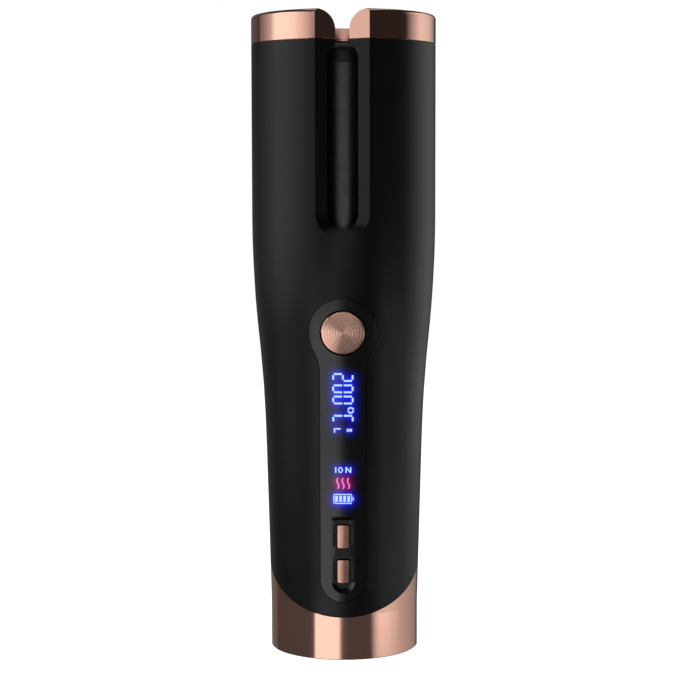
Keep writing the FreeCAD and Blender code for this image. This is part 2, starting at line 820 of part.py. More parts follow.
def recess_cutter():
    """Sunk field of the two keys: sloping walls, square top, round bottom."""
    middle = 0.5 * (recess_top + recess_bottom)

    def field(half, low, high, level):
        corner = recess_corner
        dip = corner * (1.0 - math.sqrt(0.5))
        low = low - middle
        high = high - middle
        edges = [
            Part.Arc(V(-half, low + half, 0), V(0, low, 0), V(half, low + half, 0)).toShape(),
            Part.makeLine(V(half, low + half, 0), V(half, high - corner, 0)),
            Part.Arc(V(half, high - corner, 0), V(half - dip, high - dip, 0),
                     V(half - corner, high, 0)).toShape(),
            Part.makeLine(V(half - corner, high, 0), V(-half + corner, high, 0)),
            Part.Arc(V(-half + corner, high, 0), V(-half + dip, high - dip, 0),
                     V(-half, high - corner, 0)).toShape(),
            Part.makeLine(V(-half, high - corner, 0), V(-half, low + half, 0)),
        ]
        wire = Part.Wire(edges)
        wire.translate(V(0, 0, level))
        return wire

    outer = field(recess_half, recess_bottom, recess_top, 0.0)
    floor = field(recess_floor_half, recess_floor_bottom, recess_floor_top, -recess_depth)
    slope = Part.makeLoft([outer, floor], True, True)
    mouth = Part.Face(field(recess_half, recess_bottom, recess_top, 0.0)).extrude(V(0, 0, 3.0))
    return placed(slope.fuse(mouth), on_surface(middle))


def make_control_panel():
    low = strip_bottom - 5.0
    high = head_z + head_radius + 5.0
    outline = front_prism(keyhole(0.0), -top_radius - 5.0, -12.0)
    plate = body_solid(0.0, low, high).cut(body_solid(-panel_thick, low - 1.0, high + 1.0))
    boss = body_solid(-panel_thick + 0.2, recess_bottom - 0.5, recess_top + 0.7)
    boss = boss.cut(body_solid(-boss_depth, recess_bottom - 2.0, recess_top + 2.0))
    boss = boss.common(front_prism(keyhole(-panel_ledge - boss_clear), -top_radius - 5.0, -12.0))
    solid = plate.common(outline).fuse(boss)
    hole = cyl(button_radius + button_gap, -8.0, 8.0)
    solid = solid.cut(placed(hole, on_surface(head_z)))
    solid = solid.cut(recess_cutter())
    for centre in key_centres:
        solid = solid.cut(key_prism(centre, key_gap, -top_radius, -12.0))
    return cut_all(solid, glyph_prisms(glyph_gap, -top_radius, -12.0))


def make_light_guide():
    """Clear plate behind the panel whose raised marks fill the panel's slots."""
    plate = body_solid(-panel_thick - 0.02, guide_low, guide_high)
    plate = plate.cut(body_solid(-panel_thick - guide_thick, guide_low - 1.0, guide_high + 1.0))
    plate = plate.common(box(-guide_half, guide_half, -top_radius, -12.0, guide_low, guide_high))
    stock = body_solid(-glyph_sunk, guide_low, guide_high)
    stock = stock.cut(body_solid(-panel_thick - 0.5 * guide_thick, guide_low - 1.0, guide_high + 1.0))
    marks = [mark.common(stock) for mark in glyph_prisms(0.0, -top_radius, -12.0)]
    return plate.fuse(marks).removeSplitter()


def make_light_box():
    """Opaque frame between the display board and the light guide, with cross walls."""
    face = body_solid(-panel_thick - guide_thick - snug, guide_low, guide_high)
    block = face.common(box(-guide_half, guide_half, -top_radius, -board_front, guide_low, guide_high))
    inner_half = guide_half - light_box_wall
    edges = [guide_low + light_box_wall] + list(light_box_walls) + [guide_high - light_box_wall]
    for index in range(len(edges) - 1):
        low = edges[index] + (0.5 * light_box_wall if index > 0 else 0.0)
        high = edges[index + 1] - (0.5 * light_box_wall if index < len(edges) - 2 else 0.0)
        block = block.cut(box(-inner_half, inner_half, -top_radius, 0.0, low, high))
    return block


# ================================================================ button, keys, switches
button_switch_z = head_z + (body_radius(head_z) - plunger_front) * body_slope(head_z)


def make_button_disc():
    """Turned metal face with shallow rings and a rounded rim."""
    top = button_proud
    low = top - button_disc_thick
    points = [(0.0, low), (button_radius, low), (button_radius, top - button_edge)]
    for step in (1, 2):
        angle = 0.5 * math.pi * step / 2.0
        points.append((button_radius - button_edge * (1.0 - math.cos(angle)),
                       top - button_edge * (1.0 - math.sin(angle))))
    for index in range(groove_count):
        radius = groove_pitch * (groove_count - index)
        if radius + 0.25 * groove_pitch < button_radius - button_edge:
            points.append((radius + 0.25 * groove_pitch, top))
        points.append((radius - 0.1 * groove_pitch, top - groove_depth))
        points.append((radius - 0.45 * groove_pitch, top))
    points.append((0.0, top))
    return placed(revolve(points), on_surface(head_z))


def make_button_carrier():
    top = button_proud - button_disc_thick
    body = cyl(button_radius, -button_depth, top)
    flange = cyl(button_flange_radius, -button_depth - button_flange, -button_depth)
    solid = placed(body.fuse(flange), on_surface(head_z))
    stem = cyl_y(button_stem, 0.0, button_switch_z, -body_radius(head_z) + button_depth + 0.2, -plunger_front)
    return solid.fuse(stem).removeSplitter()


def make_plunger(z):
    return cyl_y(plunger_radius, 0.0, z, -plunger_front, -plunger_front + plunger_length)


def make_key_cap(centre):
    """Plated cap that the finger presses; its face follows the body's curve."""
    face = body_solid(-key_sunk, centre - 6.0, centre + 6.0)
    back = body_solid(-key_sunk - key_cap_depth, centre - 7.0, centre + 7.0)
    return key_prism(centre, 0.0, -top_radius, -12.0).common(face).cut(back)


def make_key_carrier(centre):
    """Black part under the cap, with the flange that stops behind the panel and the stem to the switch."""
    half = key_half_height + key_flange_reach
    low_radius = body_radius(centre - half) - boss_depth
    flange_half = key_half_width + key_flange_reach
    flange_front = -(math.sqrt(low_radius ** 2 - flange_half ** 2) - key_gap)
    core = body_solid(-key_sunk - key_cap_depth, centre - 6.0, centre + 6.0)
    core = key_prism(centre, 0.0, -top_radius, flange_front + 0.1).common(core)
    flange = box(-flange_half, flange_half, flange_front, flange_front + key_flange,
                 centre - half, centre + half)
    stem = cyl_y(key_stem, 0.0, centre, flange_front + 0.2, -plunger_front)
    return fuse_all([core, flange, stem])


def make_switches():
    bodies = []
    for z in (button_switch_z,) + key_centres:
        body = box(-0.5 * switch_size, 0.5 * switch_size, -switch_front, -board_front,
                   z - 0.5 * switch_size, z + 0.5 * switch_size)
        body = body.cut(cyl_y(plunger_radius + run, 0.0, z,
                              -switch_front - 1.0, -board_front - switch_floor * 0.5))
        bodies.append(body)
    return group(bodies)


# ================================================================ boards
def make_display_board():
    solid = box(-board_half, board_half, -board_front, -board_front + board_thick, board_low, board_high)
    for height in board_boss_heights:
        for side in (-1.0, 1.0):
            solid = solid.cut(cyl_y(screw_radius + screw_gap, side * board_boss_half, height, -20.0, 0.0))
    return solid


def board_screw(x, z, y_face, direction):
    """Pan-head screw under its board face, pointing along +Y (1) or -Y (-1)."""
    head = Part.makeCylinder(screw_head, board_head_height, V(x, y_face - direction * board_head_height, z),
                             V(0, direction, 0))
    shank = Part.makeCylinder(screw_radius, board_screw_length, V(x, y_face - direction * 0.2, z),
                              V(0, direction, 0))
    return head.fuse(shank).removeSplitter()


def make_board_screws():
    screws = []
    for height in board_boss_heights:
        for side in (-1.0, 1.0):
            screws.append(board_screw(side * board_boss_half, height, -board_front + board_thick, -1.0))
    for height in main_screw_heights:
        screws.append(board_screw(0.0, height, main_board_y + main_board_thick, -1.0))
    return group(screws)


def make_main_board():
    back = main_board_y + main_board_thick
    solid = box(-main_board_half, main_board_half, main_board_y, back, main_board_low, main_board_high)
    for height in main_screw_heights:
        solid = solid.cut(cyl_y(screw_radius + screw_gap, 0.0, height, main_board_y - 1.0, back + 1.0))
    return solid


def make_controller_chip():
    back = main_board_y + main_board_thick
    return box(-chip_half, chip_half, back, back + chip_height, chip_low, chip_high)


def make_connectors():
    back = main_board_y + main_board_thick
    return group([box(x - connector_half, x + connector_half, back, back + connector_depth,
                      connector_low, connector_high) for x in connector_spots])


def make_charge_board():
    high = charge_board_z + charge_board_thick
    solid = box(-charge_board_half, charge_board_half,
                charge_board_front, charge_board_back, charge_board_z, high)
    tongue = box(-charge_tongue_half, charge_tongue_half, charge_board_back - 1.0, charge_tongue_back,
                 charge_board_z, high)
    solid = solid.fuse(tongue).removeSplitter()
    x, y = charge_post_spot
    for side in (-1.0, 1.0):
        solid = solid.cut(cyl(charge_pin_radius + screw_gap, charge_board_z - 1.0, high + 1.0, side * x, y))
    return solid


def make_usb_socket():
    mouth = base_radius - usb_sunk
    start = mouth - usb_length
    solid = usb_port(0.0, start, mouth)
    solid = solid.cut(usb_port(-usb_wall, start + 1.0, mouth + 1.0))
    middle = charge_board_z + charge_board_thick + 0.5 * usb_height
    tongue = box(-usb_tongue_half, usb_tongue_half, start + 0.5 * usb_wall, mouth - 0.8,
                 middle - usb_tongue_rise, middle + usb_tongue_rise)
    return solid.fuse(tongue).removeSplitter()


def make_hall_sensor():
    back = -board_front + board_thick
    x, z = sensor_spot
    width, depth, height = sensor_size
    return box(x, x + width, back, back + depth, z, z + height)


# ================================================================ battery
def make_battery_holder():
    top = cell_top + link_thick
    drum = cyl(holder_radius, holder_floor_z, top + holder_plate)
    ends = drum.common(box(-30.0, 30.0, -holder_front, holder_back, holder_floor_z, top + holder_plate))
    ends = ends.cut(box(-30.0, 30.0, -30.0, 30.0, cell_z - link_thick, top))
    cradle = drum.common(box(-30.0, 30.0, -2.0, holder_back, holder_floor_z, top + holder_plate))
    for side in (-1.0, 1.0):
        cradle = cradle.cut(cyl(cell_radius + snug, cell_z - link_thick, top, side * cell_offset, 0.0))
    cradle = cradle.cut(box(-15.5, 15.5, -4.5, 4.5, cell_z - link_thick, cell_z))
    cradle = cradle.cut(box(-15.5, 15.5, -4.5, 4.5, cell_top, top))
    solid = ends.fuse(cradle)
    for x, y in leg_spots:
        solid = solid.fuse(cyl(leg_radius, cap_bottom + plate_thick + snug, holder_floor_z + 0.5, x, y))
    for x, y in leg_spots:
        solid = solid.cut(cyl(screw_radius + screw_gap, 0.0, base_screw_length + cap_bottom + 0.3, x, y))
    for height in main_screw_heights:
        solid = solid.cut(cyl_y(screw_radius + screw_gap, 0.0, height, main_board_y - board_screw_length,
                                main_board_y + 1.0))
    room = 0.5 * motor_width + 0.6
    solid = solid.cut(box(-room, room, motor_y - 0.5 * motor_depth - 0.4, 30.0, motor_low - 1.5, 120.0))
    for x, y in battery_lead_starts:
        solid = solid.cut(cyl(lead_radius + 0.4, top - 0.5, top + holder_plate + 1.0, x, y))
    return solid.removeSplitter()


def make_cell(side):
    return cyl(cell_radius, cell_z, cell_top, side * cell_offset, 0.0)


def make_battery_strips():
    """One strip joins the cells below; above, each cell has its own tab."""
    half = link_half_width
    link = box(-link_half_length, link_half_length, -half, half, cell_z - link_thick, cell_z)
    tabs = [box(side * cell_offset - tab_half_length, side * cell_offset + tab_half_length, -half, half,
                cell_top, cell_top + link_thick) for side in (-1.0, 1.0)]
    return group([link] + tabs)


def lead(points):
    """Round lead along straight runs joined by tangent arcs."""
    corners = [V(*p) for p in points]
    edges = []
    start = corners[0]
    for before, here, after in zip(corners[:-2], corners[1:-1], corners[2:]):
        way_in = (here - before).normalize()
        way_out = (after - here).normalize()
        half_turn = 0.5 * way_in.getAngle(way_out)
        reach = 0.45 * min((here - before).Length, (after - here).Length)
        radius = reach / math.tan(half_turn)
        inward = (way_out - way_in).normalize()
        middle = here + inward * (radius / math.cos(half_turn) - radius)
        first = here - way_in * reach
        last = here + way_out * reach
        edges.append(Part.makeLine(start, first))
        edges.append(Part.Arc(first, middle, last).toShape())
        start = last
    edges.append(Part.makeLine(start, corners[-1]))
    profile = Part.Wire([Part.makeCircle(lead_radius, corners[0], corners[1] - corners[0])])
    return Part.Wire(edges).makePipeShell([profile], True, False)


def make_battery_leads():
    out = main_board_y + main_board_thick + 0.5 * connector_depth
    start = cell_top + link_thick
    leads = []
    for spot, crossing_x, end_x in zip(battery_lead_starts, (-8.6, -12.0), (-9.5, -11.6)):
        x, y = spot
        leads.append(lead([(x, y, start), (x, y, start + 4.2), (crossing_x, holder_back, start + 5.0),
                           (end_x, out, start - 0.6), (end_x, out, connector_high)]))
    return group(leads)


def make_motor_leads():
    out = main_board_y + main_board_thick + 0.5 * connector_depth
    return group([cyl(0.45, connector_high, motor_low, side * 1.4, out) for side in (-1.0, 1.0)])


def make_heater_leads():
    out = main_board_y + main_board_thick + 0.5 * connector_depth
    leads = []
    for side in (-1.0, 1.0):
        start_x = 1.5 * side
        end_x = 10.5 + 1.1 * side
        leads.append(lead([(start_x, 0.0, ptc_low), (start_x, 0.0, deck_z - 4.0),
                           (end_x, holder_back + 1.0, deck_z - 15.5), (end_x, out, deck_z - 22.5),
                           (end_x, out, connector_high)]))
    return group(leads)


def make_ribbon_cable():
    """Flat cable from the display board under the cells to the main board."""
    front = -board_front + board_thick
    back = main_board_y - ribbon_thick
    low = charge_board_z + charge_board_thick + 1.2
    bend = 1.2
    outer = bend + ribbon_thick
    dip = 1.0 - math.sqrt(0.5)

    def path(offset, radius):
        y0 = front + offset
        y1 = back + ribbon_thick - offset
        z0 = low + offset
        return [
            ((y0, board_low + 4.0), (y0, z0 + radius)),
            ((y0, z0 + radius), (y0 + radius * dip, z0 + radius * dip), (y0 + radius, z0)),
            ((y0 + radius, z0), (y1 - radius, z0)),
            ((y1 - radius, z0), (y1 - radius * dip, z0 + radius * dip), (y1, z0 + radius)),
            ((y1, z0 + radius), (y1, main_board_low + 4.0)),
        ]

    def draw(pieces):
        edges = []
        for piece in pieces:
            points = [V(ribbon_x, y, z) for y, z in piece]
            if len(points) == 2:
                edges.append(Part.makeLine(points[0], points[1]))
            else:
                edges.append(Part.Arc(*points).toShape())
        return edges

    outside = draw(path(0.0, outer))
    inside = draw(path(ribbon_thick, bend))
    first = Part.makeLine(V(ribbon_x, front, board_low + 4.0),
                          V(ribbon_x, front + ribbon_thick, board_low + 4.0))
    last = Part.makeLine(V(ribbon_x, back + ribbon_thick, main_board_low + 4.0),
                         V(ribbon_x, back, main_board_low + 4.0))
    wire = Part.Wire(Part.__sortEdges__(outside + inside + [first, last]))
    return Part.Face(wire).extrude(V(ribbon_width, 0, 0))


# ================================================================ deck, liner, post
deck_radius = body_radius(deck_z) - shell_wall - deck_gap


def post_screw_spots():
    return [(post_screw_circle * math.cos(math.radians(a)), post_screw_circle * math.sin(math.radians(a)))
            for a in (210.0, 330.0, 90.0)]


def make_chassis_deck():
    solid = cyl(deck_radius, deck_z, post_top_z)
    for x, y in column_spots:
        solid = solid.fuse(cyl(column_radius, post_top_z - 0.5, liner_floor_z, x, y))
    solid = solid.cut(box(-deck_notch_half, deck_notch_half, -50.0, -deck_front,
                          deck_z - 1.0, post_top_z + 1.0))
    solid = solid.cut(cyl(4.2, deck_z - 1.0, post_top_z + 1.0))
    solid = solid.cut(cyl(2.5, deck_z - 1.0, post_top_z + 1.0, 0.0, motor_y))
    for side in (-1.0, 1.0):
        solid = solid.cut(cyl(motor_screw_radius + screw_gap, deck_z - 1.0, post_top_z + 1.0,
                              side * motor_screw_x, motor_y))
    for x, y in column_spots:
        tip_z = liner_floor_z + liner_floor - frame_screw_length
        solid = solid.cut(cyl(screw_radius + screw_gap, tip_z - 0.3, liner_floor_z + 1.0, x, y))
    for x, y in post_screw_spots():
        solid = solid.cut(countersunk(x, y, deck_z, 1.0, frame_screw_length, screw_gap))
    return solid.removeSplitter()


def make_chamber_liner():
    """Heat shield between the rotor and the shell, open at the slot and at the top."""
    outer = clear_radius + liner_wall
    top = seam_z - ring_skirt - snug
    solid = cyl(outer, liner_floor_z, top)
    solid = solid.cut(cyl(clear_radius, liner_floor_z + liner_floor, top + 1.0))
    solid = solid.cut(cyl(hub_radius + 0.8, liner_floor_z - 1.0, liner_floor_z + liner_floor + 1.0))
    window_half = boss_half + boss_gap
    solid = solid.cut(box(-window_half, window_half, -top_radius, -10.0,
                          slot_bottom - boss_below - boss_gap, top + 1.0))
    for x, y in column_spots:
        solid = solid.cut(countersunk(x, y, liner_floor_z + liner_floor, -1.0, frame_screw_length, screw_gap))
    return solid


def make_frame_screws():
    head_z = liner_floor_z + liner_floor
    screws = [countersunk(x, y, head_z, -1.0, frame_screw_length) for x, y in column_spots]
    screws += [countersunk(x, y, deck_z, 1.0, frame_screw_length) for x, y in post_screw_spots()]
    return group(screws)


def make_base_screws():
    return group([countersunk(x, y, cap_bottom, 1.0, base_screw_length) for x, y in leg_spots])


def make_heater_post():
    flange_top = post_top_z + post_flange
    solid = cyl(post_flange_radius, post_top_z, flange_top)
    solid = solid.fuse(cyl(post_radius, flange_top - 0.5, barrel_base_z))
    solid = solid.fuse(cyl(post_neck, barrel_base_z - 0.5, nut_z + nut_height))
    solid = solid.cut(cyl(post_bore, post_top_z - 1.0, nut_z + nut_height + 1.0))
    for x, y in post_screw_spots():
        solid = solid.cut(cyl(screw_radius + screw_gap,
                              post_top_z - 1.0, post_top_z + post_flange - 0.1, x, y))
    return solid.removeSplitter()


def make_thrust_washer():
    return tube(bushing_flange_radius, post_radius + run, post_top_z + post_flange, washer_top_z)


# ================================================================ heated barrel
def make_barrel_base():
    solid = cyl(barrel_radius, barrel_base_z, barrel_low)
    solid = solid.fuse(cyl(inner_radius, barrel_low - 0.5, barrel_low + spigot_height))
    solid = solid.cut(cyl(post_neck + screw_gap, barrel_base_z - 1.0, nut_z + 1.0))
    solid = solid.cut(cyl(nut_flats / math.sqrt(3.0) + 0.6, nut_z, barrel_low + spigot_height + 1.0))
    return solid.removeSplitter()


def make_barrel_nut():
    corner = nut_flats / math.sqrt(3.0)
    points = [V(corner * math.cos(math.radians(60.0 * k)), corner * math.sin(math.radians(60.0 * k)), nut_z)
              for k in range(6)]
    solid = Part.Face(Part.makePolygon(points + [points[0]])).extrude(V(0, 0, nut_height))
    return solid.cut(cyl(post_neck + press, nut_z - 1.0, nut_z + nut_height + 1.0))


def make_heater_barrel():
    return tube(barrel_radius, barrel_radius - barrel_wall, barrel_low, barrel_top)


def make_barrel_tip():
    """Heat-resistant cap with a rounded shoulder that closes the barrel."""
    top = barrel_top + tip_height
    dip = tip_round * (1.0 - math.sqrt(0.5))
    edges = [
        Part.makeLine(V(0, 0, barrel_top - tip_spigot), V(inner_radius, 0, barrel_top - tip_spigot)),
        Part.makeLine(V(inner_radius, 0, barrel_top - tip_spigot), V(inner_radius, 0, barrel_top)),
        Part.makeLine(V(inner_radius, 0, barrel_top), V(tip_radius, 0, barrel_top)),
        Part.makeLine(V(tip_radius, 0, barrel_top), V(tip_radius, 0, top - tip_round)),
        Part.Arc(V(tip_radius, 0, top - tip_round), V(tip_radius - dip, 0, top - dip),
                 V(tip_radius - tip_round, 0, top)).toShape(),
        Part.makeLine(V(tip_radius - tip_round, 0, top), V(0, 0, top)),
        Part.makeLine(V(0, 0, top), V(0, 0, barrel_top - tip_spigot)),
    ]
    return Part.Face(Part.Wire(edges)).revolve(V(0, 0, 0), V(0, 0, 1), 360)


def make_spreader(side):
    """Half-round aluminium block between a heating plate and the barrel; side -1 is the front."""
    flat = 0.5 * ptc_thick + spreader_gap
    solid = cyl(inner_radius, spreader_low, spreader_high)
    if side < 0:
        solid = solid.common(box(-20.0, 20.0, -20.0, -flat, spreader_low, spreader_high))
        return solid.cut(cyl(bead_radius + snug,
                             spreader_low - 1.0, spreader_low + bead_pocket, 0.0, -heater_pocket_y))
    solid = solid.common(box(-20.0, 20.0, flat, 20.0, spreader_low, spreader_high))
    return solid.cut(cyl(fuse_radius + snug,
                         spreader_low - 1.0, spreader_low + fuse_pocket, 0.0, heater_pocket_y))


def make_ptc_plates():
    plates = []
    room = spreader_high - ptc_low
    for low in (ptc_low, ptc_low + max(0.5 * room, ptc_length + 1.0)):
        high = min(low + ptc_length, spreader_high)
        plates.append(box(-0.5 * ptc_width, 0.5 * ptc_width, -0.5 * ptc_thick, 0.5 * ptc_thick, low, high))
    return group(plates)


def make_thermistor():
    high = spreader_low + bead_pocket
    return cyl(bead_radius, high - bead_length, high, 0.0, -heater_pocket_y)


def make_thermal_fuse():
    high = spreader_low + fuse_pocket
    return cyl(fuse_radius, high - fuse_length, high, 0.0, heater_pocket_y)


# ================================================================ rotor and drive
def make_rotor_sleeve():
    """Turning chamber wall with floor, hub and an open slot that meets the body's slot."""
    floor_top = rotor_floor_z + rotor_floor
    solid = cyl(rotor_outer, rotor_floor_z, rotor_top).cut(cyl(rotor_inner, floor_top, rotor_top + 1.0))
    solid = solid.fuse(cyl(hub_radius, gear_high_z, rotor_floor_z + 0.5))
    seat = cyl(hub_seat_radius - press, gear_low_z, gear_high_z + 0.5)
    seat = seat.common(box(-20.0, 20.0, -hub_seat_flat + press, hub_seat_flat - press, gear_low_z,
                           gear_high_z + 0.5))
    solid = solid.fuse(seat)
    solid = solid.cut(cyl(bushing_radius, gear_low_z - 1.0, floor_top + 1.0))
    low = slot_bottom - rotor_slot_extra
    slot = front_prism(stadium(rotor_slot_half, low, rotor_top + 20.0),
                       -rotor_outer - 2.0, -rotor_inner + 8.0)
    solid = solid.cut(slot)
    solid = solid.cut(cyl(magnet_radius, rotor_floor_z - 1.0, rotor_floor_z + magnet_height, *magnet_spot))
    return solid.removeSplitter()


def make_rotor_bushing():
    top = rotor_floor_z + rotor_floor - 0.2
    flange_low = gear_low_z - bushing_flange
    solid = cyl(bushing_radius - press, flange_low, top)
    solid = solid.fuse(cyl(bushing_flange_radius, flange_low, gear_low_z))
    return solid.cut(cyl(post_radius + run, flange_low - 1.0, top + 1.0)).removeSplitter()


def make_magnet():
    return cyl(magnet_radius - press, rotor_floor_z, rotor_floor_z + magnet_height, *magnet_spot)


def involute(angle):
    return math.tan(angle) - angle


def gear_outline(teeth, shift, first_angle):
    """Closed outline of an involute gear; one tooth is centred on first_angle (radians)."""
    pitch = 0.5 * gear_module * teeth
    base = pitch * math.cos(pressure_angle)
    outer = pitch + gear_module * (1.0 + shift)
    root = pitch - gear_module * (1.25 - shift)
    thick = gear_module * (0.5 * math.pi + 2.0 * shift * math.tan(pressure_angle)) - 0.5 * gear_backlash
    half_at_pitch = 0.5 * thick / pitch

    def half_angle(radius):
        return half_at_pitch + involute(pressure_angle) - involute(math.acos(min(1.0, base / radius)))

    flank_low = max(base, root + 0.02)
    radii = [flank_low + (outer - flank_low) * k / 4.0 for k in range(5)]

    def at(radius, angle):
        return V(radius * math.cos(angle), radius * math.sin(angle), 0)

    edges = []
    step = 2.0 * math.pi / teeth
    for index in range(teeth):
        middle = first_angle + index * step
        rising = [at(r, middle - half_angle(r)) for r in radii]
        falling = [at(r, middle + half_angle(r)) for r in reversed(radii)]
        foot_in = at(root, middle - half_angle(flank_low))
        foot_out = at(root, middle + half_angle(flank_low))
        edges.append(Part.makeLine(foot_in, rising[0]))
        flank = Part.BSplineCurve()
        flank.interpolate(rising)
        edges.append(flank.toShape())
        edges.append(Part.Arc(rising[-1], at(outer, middle), falling[0]).toShape())
        flank = Part.BSplineCurve()
        flank.interpolate(falling)
        edges.append(flank.toShape())
        edges.append(Part.makeLine(falling[-1], foot_out))
        next_foot = at(root, middle + step - half_angle(flank_low))
        edges.append(Part.Arc(foot_out, at(root, middle + 0.5 * step), next_foot).toShape())
    return Part.Wire(edges)


def gear_solid(teeth, shift, first_angle, x, y):
    solid = Part.Face(gear_outline(teeth, shift, first_angle)).extrude(V(0, 0, gear_face))
    solid.translate(V(x, y, gear_low_z))
    return solid


def make_rotor_gear():
    """Ring gear on the rotor's hub; a tooth space faces the pinion at +Y."""
    half_step = math.pi / gear_teeth
    solid = gear_solid(gear_teeth, -gear_shift, 0.5 * math.pi + half_step, 0.0, 0.0)
    bore = cyl(hub_seat_radius, gear_low_z - 1.0, gear_high_z + 1.0)
    bore = bore.common(box(-20.0, 20.0, -hub_seat_flat, hub_seat_flat, gear_low_z - 1.0, gear_high_z + 1.0))
    return solid.cut(bore)


def shaft_solid(grow, low, high, flat_low):
    solid = cyl(shaft_radius + grow, low, high, 0.0, motor_y)
    flat = box(-3.0, 3.0, motor_y + shaft_flat + grow, motor_y + 4.0, flat_low, high + 1.0)
    return solid.cut(flat)


def make_drive_pinion():
    solid = gear_solid(pinion_teeth, gear_shift, -0.5 * math.pi, 0.0, motor_y)
    solid = solid.fuse(cyl(collar_radius, gear_low_z - collar_height, gear_low_z + 0.1, 0.0, motor_y))
    low = gear_low_z - collar_height
    return solid.cut(shaft_solid(press, low - 1.0, gear_high_z + 1.0, low - 1.0)).removeSplitter()


def make_motor_shaft():
    return shaft_solid(0.0, deck_z - gearbox_length + 2.0, gear_high_z, gear_low_z - collar_height)


def make_gearbox():
    low = deck_z - gearbox_length
    solid = box(-0.5 * motor_width, 0.5 * motor_width,
                motor_y - 0.5 * motor_depth, motor_y + 0.5 * motor_depth, low, deck_z)
    solid = solid.cut(cyl(shaft_radius + run, low + 1.5, deck_z + 1.0, 0.0, motor_y))
    for side in (-1.0, 1.0):
        solid = solid.cut(cyl(motor_screw_radius + screw_gap, deck_z - motor_screw_depth - 0.2, deck_z + 1.0,
                              side * motor_screw_x, motor_y))
    return solid


def make_motor():
    high = deck_z - gearbox_length
    solid = cyl(0.5 * motor_width, motor_low, high, 0.0, motor_y)
    return solid.common(box(-motor_width, motor_width,
                            motor_y - 0.5 * motor_depth, motor_y + 0.5 * motor_depth, motor_low, high))


def make_motor_screws():
    screws = []
    for side in (-1.0, 1.0):
        x = side * motor_screw_x
        head = cyl(motor_screw_head, post_top_z, post_top_z + motor_screw_head_height, x, motor_y)
        shank = cyl(motor_screw_radius, deck_z - motor_screw_depth, post_top_z + 0.2, x, motor_y)
        screws.append(head.fuse(shank).removeSplitter())
    return group(screws)


def make_ion_module():
    low = cell_top + link_thick + holder_plate
    width, depth, height = ion_size
    return box(-0.5 * width, 0.5 * width, -ion_front, -ion_front + depth, low, low + height)


# ================================================================ build
def build():
    whole_shell = shell_tube()
    return {
        "front_shell": make_front_shell(whole_shell),
        "rear_shell": make_rear_shell(whole_shell),
        "top_ring": make_top_ring(),
        "base_cap": make_base_cap(),
        "base_plate": make_base_plate(),
        "base_foot": make_base_foot(),
        "base_screws": make_base_screws(),
        "control_panel": make_control_panel(),
        "display_light_guide": make_light_guide(),
        "display_light_box": make_light_box(),
        "display_board": make_display_board(),
        "board_screws": make_board_screws(),
        "switch_bodies": make_switches(),
        "hall_sensor": make_hall_sensor(),
        "chamber_liner": make_chamber_liner(),
        "chassis_deck": make_chassis_deck(),
        "frame_screws": make_frame_screws(),
        "battery_holder": make_battery_holder(),
        "battery_cell_left": make_cell(-1.0),
        "battery_cell_right": make_cell(1.0),
        "battery_strips": make_battery_strips(),
        "main_board": make_main_board(),
        "controller_chip": make_controller_chip(),
        "lead_connectors": make_connectors(),
        "charge_board": make_charge_board(),
        "usb_socket": make_usb_socket(),
        "ion_module": make_ion_module(),
        "gearbox_case": make_gearbox(),
        "motor_can": make_motor(),
        "motor_screws": make_motor_screws(),
        "battery_leads": make_battery_leads(),
        "motor_leads": make_motor_leads(),
        "heater_leads": make_heater_leads(),
        "ribbon_cable": make_ribbon_cable(),
        "heater_post": make_heater_post(),
        "thrust_washer": make_thrust_washer(),
        "barrel_base": make_barrel_base(),
        "barrel_nut": make_barrel_nut(),
        "heater_barrel": make_heater_barrel(),
        "barrel_tip": make_barrel_tip(),
        "spreader_front": make_spreader(-1.0),
        "spreader_back": make_spreader(1.0),
        "ptc_plates": make_ptc_plates(),
        "thermistor": make_thermistor(),
        "thermal_fuse": make_thermal_fuse(),
        "rotor_sleeve": make_rotor_sleeve(),
        "rotor_gear": make_rotor_gear(),
        "rotor_bushing": make_rotor_bushing(),
        "home_magnet": make_magnet(),
        "motor_shaft": make_motor_shaft(),
        "drive_pinion": make_drive_pinion(),
        "button_disc": make_button_disc(),
        "button_carrier": make_button_carrier(),
        "button_plunger": make_plunger(button_switch_z),
        "temperature_key": make_key_cap(key_centres[0]),
        "temperature_key_carrier": make_key_carrier(key_centres[0]),
        "temperature_plunger": make_plunger(key_centres[0]),
        "timer_key": make_key_cap(key_centres[1]),
        "timer_key_carrier": make_key_carrier(key_centres[1]),
        "timer_plunger": make_plunger(key_centres[1]),
    }


os.makedirs("parts", exist_ok=True)
for node, shape in build().items():
    solids = shape.Solids
    if not solids or not shape.isValid():
        print("check", node, len(solids), shape.isValid())
    result = solids[0] if len(solids) == 1 else Part.makeCompound(solids)
    result.exportStep("parts/" + node + ".step")
    print(node, len(solids))
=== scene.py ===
import math

import bmesh
import bpy
import numpy as np
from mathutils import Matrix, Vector


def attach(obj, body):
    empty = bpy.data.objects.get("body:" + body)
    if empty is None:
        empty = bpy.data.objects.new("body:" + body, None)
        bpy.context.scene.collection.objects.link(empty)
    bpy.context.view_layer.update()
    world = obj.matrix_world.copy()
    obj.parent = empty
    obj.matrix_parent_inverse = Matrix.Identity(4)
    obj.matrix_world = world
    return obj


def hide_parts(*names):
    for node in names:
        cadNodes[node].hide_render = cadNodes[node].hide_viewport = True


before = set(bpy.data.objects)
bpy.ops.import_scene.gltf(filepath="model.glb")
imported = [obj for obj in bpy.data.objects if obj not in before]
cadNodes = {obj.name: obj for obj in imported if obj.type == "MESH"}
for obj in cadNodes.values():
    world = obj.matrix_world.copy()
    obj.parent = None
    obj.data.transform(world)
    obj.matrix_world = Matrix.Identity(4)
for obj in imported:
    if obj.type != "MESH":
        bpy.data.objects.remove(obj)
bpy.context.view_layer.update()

# Cordless hair curler: black soft-touch body with a rose gold rim, foot, button and keys.
# Metres, the front of the object towards -Y.

scene = bpy.context.scene
mm = 0.001


